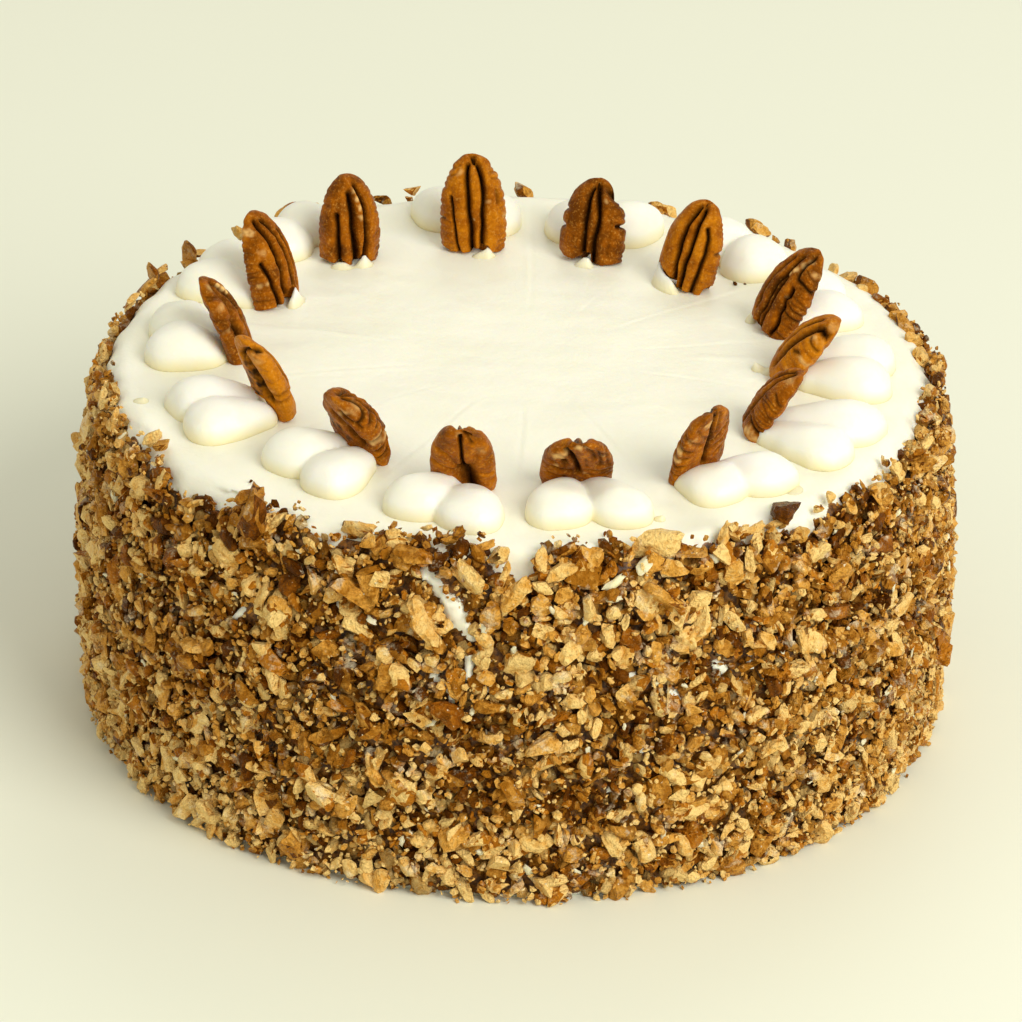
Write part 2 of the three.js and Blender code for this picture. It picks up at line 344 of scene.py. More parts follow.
def icingMaterial(finish):
    material, nodes, links, shader = newMaterial(finish + " icing")
    where = objectPoints(nodes)
    patches = addNoise(nodes, links, where, 45, 3)
    dull, light = icingColours[finish]
    colour = addRamp(nodes, links, patches, [(0.35, dull), (0.7, light)])
    if finish == "coated":
        # under the coat the icing is painted dark brown: partly nut meal, partly painted shade in the gaps
        # between the nuts
        meal = nodes.new("ShaderNodeVertexColor")
        meal.layer_name = "meal"
        grains = addNoise(nodes, links, where, 800, 4, 0.7)
        tones = [(0.42, icingColours["mealDarkPaintedShade"]), (0.62, icingColours["meal"])]
        mealAndGapShade = addRamp(nodes, links, grains, tones)
        frayed = addRange(nodes, links, grains, 0.3, 0.7, -0.3, 0.3)
        spread = addMath(nodes, links, "ADD", meal.outputs["Color"], frayed)
        colour = addMix(nodes, links, addRange(nodes, links, spread, 0.42, 0.58), colour, mealAndGapShade)
    else:
        # painted shade: the piping is painted a little yellower where it meets the cake, as the yellowish
        # shade along its foot
        height = nodes.new("ShaderNodeSeparateXYZ")
        links.new(where, height.inputs["Vector"])
        low = addRange(nodes, links, height.outputs["Z"], iceTop, iceTop + 3.4 * mm, 0.8, 0.0)
        colour = addMix(nodes, links, low, colour, icingColours["paintedFootShade"])
    links.new(colour, shader.inputs["Base Color"])
    weight, depth = icingGlow[finish]
    shader.inputs["Subsurface Weight"].default_value = weight
    shader.inputs["Subsurface Radius"].default_value = icingGlow["radius"]
    shader.inputs["Subsurface Scale"].default_value = depth
    fine = addNoise(nodes, links, where, 900, 3)
    broad = addNoise(nodes, links, where, 120, 2)
    links.new(addRange(nodes, links, broad, 0.3, 0.7, 0.34, 0.52), shader.inputs["Roughness"])
    shader.inputs["Specular IOR Level"].default_value = 0.4
    height = addMath(nodes, links, "ADD", addMath(nodes, links, "MULTIPLY", fine, 0.35), broad)
    addBump(nodes, links, shader, height, icingRelief)
    return material


# the cake's own icing: radii and heights in mm as in the solids, less what the nuts stand out
cakeIcing = {
    "wallHeights": (0, 36, 79),
    "wallRadii": (100.6, 102.0, 98.4),
    "shoulderReach": 5.9,
    "flatTopRadius": 92.5,
    "wallRows": 66,
    "shoulderRows": 12,
    "topRows": 52,
    "cuts": 52,                          # segments from one slice mark to the next
    "markCentre": (1.8, 2.2),
    "markTurn": -1.18,
    "markDepth": 0.08,
    "markLip": 0.07,
    "markFrom": 28,
    "markTo": 90,
    "mealRelief": 1.3,
}


def cakeOutline():
    setup = cakeIcing
    top = iceTop / mm
    curve = np.polyfit(setup["wallHeights"], setup["wallRadii"], 2)
    wallTop = setup["wallHeights"][2]
    heights = np.linspace(0, wallTop, setup["wallRows"] + 1)
    outline = [(np.polyval(curve, height), height) for height in heights]
    for step in range(1, setup["shoulderRows"] + 1):
        turn = math.pi / 2 * step / setup["shoulderRows"]
        outline.append((setup["flatTopRadius"] + setup["shoulderReach"] * math.cos(turn),
                        wallTop + (top - wallTop) * math.sin(turn)))
    return np.array(outline)


outline = cakeOutline()
steps = np.concatenate([[0], np.cumsum(np.hypot(*np.diff(outline, axis=0).T))])
wallLength = steps[cakeIcing["wallRows"]]
shoulderLength = steps[-1] - wallLength

# how high the coat reaches round the cake: azimuth, then level, which is 0 at the top of the
# straight wall and 1 where the flat top begins
coatEdge = [
    (-180, 0.6), (-168, 0.8), (-155, 0.75), (-146, 0.7), (-139, 0.45), (-130, 0.75), (-122, 1.05),
    (-118, 0.95), (-115.6, 0.6), (-112, 1.0), (-106, 1.1), (-99.6, 1.2), (-94.5, 1.05), (-92, 0.6),
    (-90, 0.25), (-88.2, 0.65), (-86, 1.0), (-78, 1.1), (-73, 0.9), (-69, 0.7), (-62.5, 0.85), (-55, 0.8),
    (-51.5, 0.75), (-48.8, 0.2), (-46.5, 0.6), (-42, 0.8), (-32, 0.65), (-20, 0.8), (-9, 0.85), (4, 0.75),
    (15, 0.65), (22, 0.5), (30, 0.55), (37, 0.4), (43, -0.2), (50, 0.0), (62, -0.4), (74, -0.1),
    (84, -0.4), (92, -0.1), (104, -0.4), (116, 0.0), (128, -0.2), (140, 0.1), (150, 0.4), (158, 0.6),
    (166, 0.5), (173, 0.6), (180, 0.6),
]


def edgeAt(azimuth):
    places, levels = np.array(coatEdge).T
    around = np.radians(azimuth)
    level = np.interp((azimuth + 180) % 360 - 180, places, levels)
    level = level + 0.05 * np.sin(47 * around + 1) + 0.05 * np.sin(83 * around)
    return wallLength + shoulderLength * level


# places where icing shows between the nuts: width in mm, then a route by azimuth and length up the side
bareStreaks = [
    (0.9, (-99.6, 87), (-101.7, 82), (-100.2, 79)), (1.3, (-100.2, 79), (-98.4, 75.5)),
    (2.0, (-97.9, 74.5), (-96.4, 71)), (1.0, (-97, 71), (-94.9, 67)), (1.0, (-95.4, 63), (-95.2, 57)),
    (0.9, (-97.8, 56), (-97.4, 52)), (0.7, (-93.9, 56), (-92.8, 55)), (0.7, (-107.6, 77), (-108.2, 74)),
    (0.9, (-112.8, 71), (-112, 69)), (0.7, (-99.8, 57), (-99, 55.5)), (0.7, (-75.5, 59), (-74.5, 57.5)),
    (0.7, (-75.6, 53), (-74.8, 54)), (1.0, (-69.9, 52), (-68.4, 51.5)), (1.0, (-63.4, 57), (-62.3, 55)),
    (0.7, (-58.6, 57), (-58.2, 54)), (0.7, (-56, 51), (-55, 49)), (0.8, (-74, 38), (-73, 38)),
    (0.7, (-77, 29), (-76, 28.5)), (0.8, (-142, 66), (-141, 62)), (0.8, (-128, 60), (-127, 62)),
]
bareRagged = {"much": 0.35, "size": 3.0, "seed": 91}
bareElsewhere = {"seed": 8, "count": 26, "from": -30, "to": 176, "low": 16, "high": 80, "width": (0.6, 1.0)}


def addBareStreaks():
    draw = np.random.default_rng(bareElsewhere["seed"])
    for _ in range(bareElsewhere["count"]):
        azimuth = draw.uniform(bareElsewhere["from"], bareElsewhere["to"])
        along = draw.uniform(bareElsewhere["low"], bareElsewhere["high"])
        run = draw.uniform(-1.6, 1.6, 2)
        bareStreaks.append((draw.uniform(*bareElsewhere["width"]), (azimuth, along),
                            (azimuth + run[0], along + 2 * run[1])))


addBareStreaks()


def bareAt(azimuth, along):
    # 1 where the icing shows, 0 where the coat is whole
    perDegree = math.radians(max(cakeIcing["wallRadii"]))
    places = np.stack([np.asarray(azimuth) * perDegree, along], axis=1)
    uneven = waves(np.insert(places, 2, 0, axis=1), bareRagged["size"], bareRagged["seed"])
    bare = np.zeros(len(places))
    for width, *route in bareStreaks:
        away = nearLine(places, [(turn * perDegree, level) for turn, level in route])
        bare = np.maximum(bare, smoothstep(1.5, 0.6, away * (1 + bareRagged["much"] * uneven) / width))
    return bare


# faint strokes the spatula left on the top: three places in mm and how high
spatulaStrokes = [
    ((-36, 44), (-4, 19), (41, 29), 0.14), ((-55, 14), (-44, 9), (-32, 9), 0.16),
    ((34, 4), (45, 2), (55, 2), 0.18), ((-30, -20), (0, -32), (30, -24), 0.1),
    ((-50, 30), (-20, 46), (20, 44), 0.1), ((10, 12), (30, 16), (50, 12), 0.12),
]


def spinCake():
    # the outline spun round, in mm, with a column of corners on each slice mark
    setup = cakeIcing
    topRadii = setup["flatTopRadius"] * (1 - np.linspace(0, 1, setup["topRows"] + 1)[1:] ** 1.15)
    path = [(0, 0), (50, 0), *outline, *[(radius, iceTop / mm) for radius in topRadii]]
    bm = bmesh.new()
    verts = [bm.verts.new((radius, 0, height)) for radius, height in path]
    for low, high in zip(verts, verts[1:]):
        bm.edges.new((low, high))
    bmesh.ops.spin(bm, geom=bm.verts[:] + bm.edges[:], cent=(0, 0, 0), axis=(0, 0, 1), dvec=(0, 0, 0),
                   angle=2 * math.pi, steps=ring["slices"] * setup["cuts"], use_merge=True,
                   use_normal_flip=False, use_duplicate=False)
    bmesh.ops.remove_doubles(bm, verts=bm.verts[:], dist=0.01)
    bmesh.ops.recalc_face_normals(bm, faces=bm.faces[:])
    turn = math.radians(90 + setup["markTurn"])
    bmesh.ops.rotate(bm, verts=bm.verts[:], cent=(0, 0, 0), matrix=Matrix.Rotation(turn, 3, "Z"))
    return bm


def topRelief(points, radius, azimuth):
    # slice marks pressed lightly into the top, each with a lip of icing on one side, then soft
    # unevenness and the spatula's strokes
    setup = cakeIcing
    apart = 360 / ring["slices"]
    offMark = (azimuth - 90 - setup["markTurn"] + apart / 2) % apart - apart / 2
    side = np.radians(offMark) * radius
    reach = smoothstep(setup["markFrom"] - 4, setup["markFrom"] + 4, radius)
    reach *= 1 - smoothstep(setup["markTo"] - 4, setup["markTo"], radius)
    reach *= 0.55 + 0.45 * waves(points, 40, 5)
    mark = -setup["markDepth"] * bell(side, 0.6) + setup["markLip"] * bell(side - 1.2, 0.8)
    lift = mark * reach + 0.22 * waves(points * (1, 1, 0), 38, 3) + 0.1 * waves(points * (1, 1, 0), 13, 4)
    for start, middle, end, rise in spatulaStrokes:
        stroke = nearLine(points[:, :2], (start, middle, end))
        lift += rise * bell(stroke, 1.5) * smoothstep(0.35, 0.75, 0.5 + 0.5 * waves(points, 30, 9))
    return lift


def makeCakeIcing(material):
    setup = cakeIcing
    bm = spinCake()
    points = pointsOf(bm)
    radius = np.hypot(points[:, 0], points[:, 1])
    height = points[:, 2].copy()
    azimuth = np.degrees(np.arctan2(points[:, 1], points[:, 0]))
    onTop = smoothstep(iceTop / mm - 4, iceTop / mm, height)
    onShoulder = smoothstep(70, 82, height) * smoothstep(86, 92, radius)

    # nut meal on everything below the coat's edge, pressed into lumps, and where it's bare the icing
    # stands out; the meal is painted partly in its own brown and partly as the shade of the gaps
    along = np.interp(height, outline[:, 1], steps)
    along += np.clip(setup["flatTopRadius"] - radius, 0, None) * onTop
    meal = smoothstep(1.0, -1.0, along - edgeAt(azimuth) + 3.4 + 1.2 * waves(points, 6, 11))
    bare = bareAt(azimuth, along)
    meal *= (height > 0.01) * (1 - bare)
    lumps = waves(points, 4.5, 12, 12) + 0.7 * waves(points, 2.6, 13, 12)
    push = setup["mealRelief"] * 0.5 * lumps * meal + (1.6 + 0.5 * lumps) * bare * (height > 2)
    push += onShoulder * (0.6 * waves(points, 22, 6) + 0.3 * waves(points, 9, 7)) * (1 - meal)

    points[:, 2] += topRelief(points, radius, azimuth) * onTop + onShoulder * 0.5 * waves(points, 17, 8)
    below = points[:, 2] < iceTop / mm - 0.5
    points[:, :2] *= (1 + push / np.maximum(radius, 1) * below)[:, None]
    points[:, :2] += np.array(setup["markCentre"]) * ((1 - smoothstep(40, 90, radius)) * onTop)[:, None]
    movePoints(bm, points * mm)
    marks = bm.verts.layers.float_color.new("meal")
    for vert, share in zip(bm.verts, meal):
        vert[marks] = (share, share, share, 1)
    return finishPiece("cake_icing", meshFrom(bm, "cake_icing"), material, "icing", "iced_cake")


# ---- piped pairs
shell = {
    "longer": 1.13,                      # a shell's length for its width
    "squareness": 2.25,                  # 2 is an ellipse, more is boxier
    "fuller": 0.1,                       # how much its outer end is the plumper one
    "splay": 6,
    "tailWide": 3.7,
    "tailApart": 3.3,
    "tailFrom": (65.5, 62),              # from the ring's centre: with an upright nut, and the least
    "tailLeast": 8,
    "voxel": 0.45, "smoothing": 6, "seed": 21,
}


def spokeMatrix(number, turn):
    azimuth = ring["firstAzimuth"] + 360 / ring["slices"] * number + turn
    return Matrix.Translation((*ring["centre"], iceTop)) @ Matrix.Rotation(math.radians(azimuth), 4, "Z")


def addShell(bm, side, foot, size, offAxis, draw):
    # an egg of icing, its inner half drawn out into a tail to the nut's foot unless the tail's height is 0
    reach, aside, width, height, tail = size
    made = bmesh.ops.create_uvsphere(bm, u_segments=44, v_segments=60, radius=1)
    ball = np.array([vert.co for vert in made["verts"]])
    power = shell["squareness"]
    half = width * shell["longer"] / 2
    foot = foot if tail else reach - half
    along = foot + (reach + half - foot) * (1 + ball[:, 2]) / 2
    egg = np.clip(1 - np.abs((along - reach) / half) ** power, 0, 1) ** (1 / power)
    share = np.clip((reach - along) / (reach - foot), 0, 1)
    wide = width / 2 * egg
    high = height * egg
    if tail:
        drawn = np.clip(1 - share ** 1.7, 0, 1) ** 1.25
        ends = np.sqrt(np.clip(1 - np.clip((foot + 3 - along) / 3, 0, 1) ** 2, 0, 1))
        inner = along < reach
        wide = np.where(inner, (shell["tailWide"] + (width / 2 - shell["tailWide"]) * drawn) * ends, wide)
        high = np.where(inner, (0.8 * tail + (height - 0.8 * tail) * drawn) * ends, high)
    wide *= 1 + shell["fuller"] * np.clip((along - reach) / half, -1, 1)
    turn = np.arctan2(ball[:, 1], ball[:, 0])
    across, rise = [np.sign(part) * np.abs(part) ** (2 / power) for part in (np.cos(turn), np.sin(turn))]
    rise = np.where(rise < 0, 0.3 * rise, rise)
    bent = smoothstep(0, 1, share) if tail else 0 * share
    line = aside + (shell["tailApart"] - aside) * bent
    line = line + math.tan(math.radians(shell["splay"])) * np.clip(along - reach, 0, None)
    points = np.stack([along, side * line + offAxis * foot * bent + wide * across, high * rise], axis=1)
    points += 0.2 * np.stack([waves(points, 9, int(draw.integers(999))) for _ in range(3)], axis=1)
    for vert, point in zip(made["verts"], points):
        vert.co = point


def addPeak(bm, place, height, width, bendTo):
    # a soft point of icing with its top drawn aside
    made = bmesh.ops.create_uvsphere(bm, u_segments=20, v_segments=20, radius=1)
    for vert in made["verts"]:
        share = (vert.co.z + 1) / 2
        narrow = (1 - share) ** 1.3 * 1.7 + 0.07
        vert.co.x = vert.co.x * width * narrow + bendTo[0] * share ** 2
        vert.co.y = vert.co.y * width * narrow + bendTo[1] * share ** 2
        vert.co.z = height * (share * 1.3 - 0.3)
        vert.co += Vector(place)


def remeshed(bm, name, voxel, smoothing):
    data = meshFrom(bm, name)
    scratch = bpy.data.objects.new(name + "_scratch", data)
    bpy.context.scene.collection.objects.link(scratch)
    remesh = scratch.modifiers.new("remesh", "REMESH")
    remesh.mode = "VOXEL"
    remesh.voxel_size = voxel
    remesh.use_smooth_shade = True
    smooth = scratch.modifiers.new("smooth", "SMOOTH")
    smooth.factor = 0.5
    smooth.iterations = smoothing
    bpy.context.view_layer.update()
    evaluated = scratch.evaluated_get(bpy.context.evaluated_depsgraph_get())
    made = bpy.data.meshes.new_from_object(evaluated)
    made.name = name
    bpy.data.objects.remove(scratch)
    return made


def cutLevel(data, level):
    # everything below the level taken off and closed again
    bm = bmesh.new()
    bm.from_mesh(data)
    sliced = bmesh.ops.bisect_plane(bm, geom=bm.verts[:] + bm.edges[:] + bm.faces[:], dist=1e-7,
                                    plane_co=(0, 0, level), plane_no=(0, 0, -1), clear_outer=True)
    rim = [item for item in sliced["geom_cut"] if isinstance(item, bmesh.types.BMEdge)]
    bmesh.ops.holes_fill(bm, edges=rim, sides=0)
    bmesh.ops.triangulate(bm, faces=[face for face in bm.faces if len(face.verts) > 4])
    bmesh.ops.recalc_face_normals(bm, faces=bm.faces[:])
    bm.to_mesh(data)
    bm.free()


def addSmear(bm, half, route):
    # icing pushed up along the foot of the nut's back, each stop being the place across and the height
    stops = np.array(route)
    for share in np.linspace(0, len(stops) - 1, 6 * len(stops)):
        around, height = [np.interp(share, range(len(stops)), column) for column in stops.T]
        level = (pecan["pressedIn"] + 0.7 * height) / half["long"]
        place = nutMatrix(half) @ Vector(surfacePoint(half, np.array([around]), np.array([level]))[0])
        made = bmesh.ops.create_uvsphere(bm, u_segments=12, v_segments=10, radius=1)
        for vert in made["verts"]:
            lean = 0.5 * max(vert.co.z, 0)
            spread = 1.7 - 0.9 * math.sqrt(max(vert.co.z, 0))
            vert.co = (place.x + spread * vert.co.x - 0.3 + lean, place.y + spread * vert.co.y,
                       0.92 * height * vert.co.z)


def makePair(number, half, pair, look, material):
    name = f"piped_icing_{number + 1:02d}"
    draw = np.random.default_rng(shell["seed"] + number)
    foot = max(shell["tailFrom"][0] + half["out"], shell["tailFrom"][1])
    offAxis = math.radians(pair["turn"] - half["turn"])
    bm = bmesh.new()
    for side, size in zip((1, -1), pair["shells"]):
        addShell(bm, side, min(foot, size[0] - shell["tailLeast"]), size, -math.sin(offAxis), draw)
    bmesh.ops.rotate(bm, verts=bm.verts[:], cent=(0, 0, 0), matrix=Matrix.Rotation(offAxis, 3, "Z"))
    for route in look.get("smears", ()):
        addSmear(bm, half, route)
    data = remeshed(bm, name, shell["voxel"], shell["smoothing"])
    data.transform(spokeMatrix(number, half["turn"]) @ Matrix.Scale(mm, 4))
    cutLevel(data, iceTop - 0.6 * mm)
    return finishPiece(name, data, material, "icing", f"piped_pair_{number + 1:02d}")


def makePeaks(material):
    bm = bmesh.new()
    for x, y, height, width, bendTo in icingPeaks:
        addPeak(bm, (x, y, iceTop / mm - 0.3), height, width, bendTo)
    data = remeshed(bm, "icing_peaks", 0.3, 2)
    data.transform(Matrix.Scale(mm, 4))
    cutLevel(data, iceTop - 0.6 * mm)
    return finishPiece("icing_peaks", data, material, "icing")


# ---- pecan halves
pecan = {"pressedIn": 5.5, "bend": 1.3, "backHigh": 0.70, "faceHigh": 0.33,
         "around": 176, "along": 126, "sunk": 0.9, "seed": 40}

# A half's own map: round it runs 0 for the middle of the back, 1 and -1 (or 3) for the edges and 2
# for the middle of the folded face, and along it 0 for the foot and 1 for the tip. Each cut is its
# depth and width in mm and then its route on that map. Ribs are rows of short cross wrinkles: from,
# to, lowest, highest, how many, depth. The foot lists how high each lobe ends, by place across.
plainBack = [
    (1.9, 0.6, (0.2, 0.96), (0.21, 0.7), (0.19, 0.4), (0.16, 0.1)),
    (1.9, 0.6, (-0.2, 0.96), (-0.21, 0.7), (-0.19, 0.4), (-0.16, 0.1)),
    (0.9, 0.5, (0.6, 0.82), (0.66, 0.5), (0.6, 0.2)),
    (0.9, 0.5, (-0.6, 0.78), (-0.66, 0.5), (-0.6, 0.2)),
]
plainFace = [
    (1.5, 0.55, (2.0, 0.95), (2.02, 0.6), (2.0, 0.35)),
    (1.8, 1.4, (2.0, 0.42), (2.0, 0.2)),
    (0.5, 0.5, (2.1, 0.5), (2.5, 0.72), (2.85, 0.8)),
    (0.5, 0.5, (1.9, 0.5), (1.5, 0.72), (1.15, 0.8)),
    (0.45, 0.5, (2.15, 0.42), (2.8, 0.55)),
    (0.45, 0.5, (1.85, 0.42), (1.2, 0.55)),
]
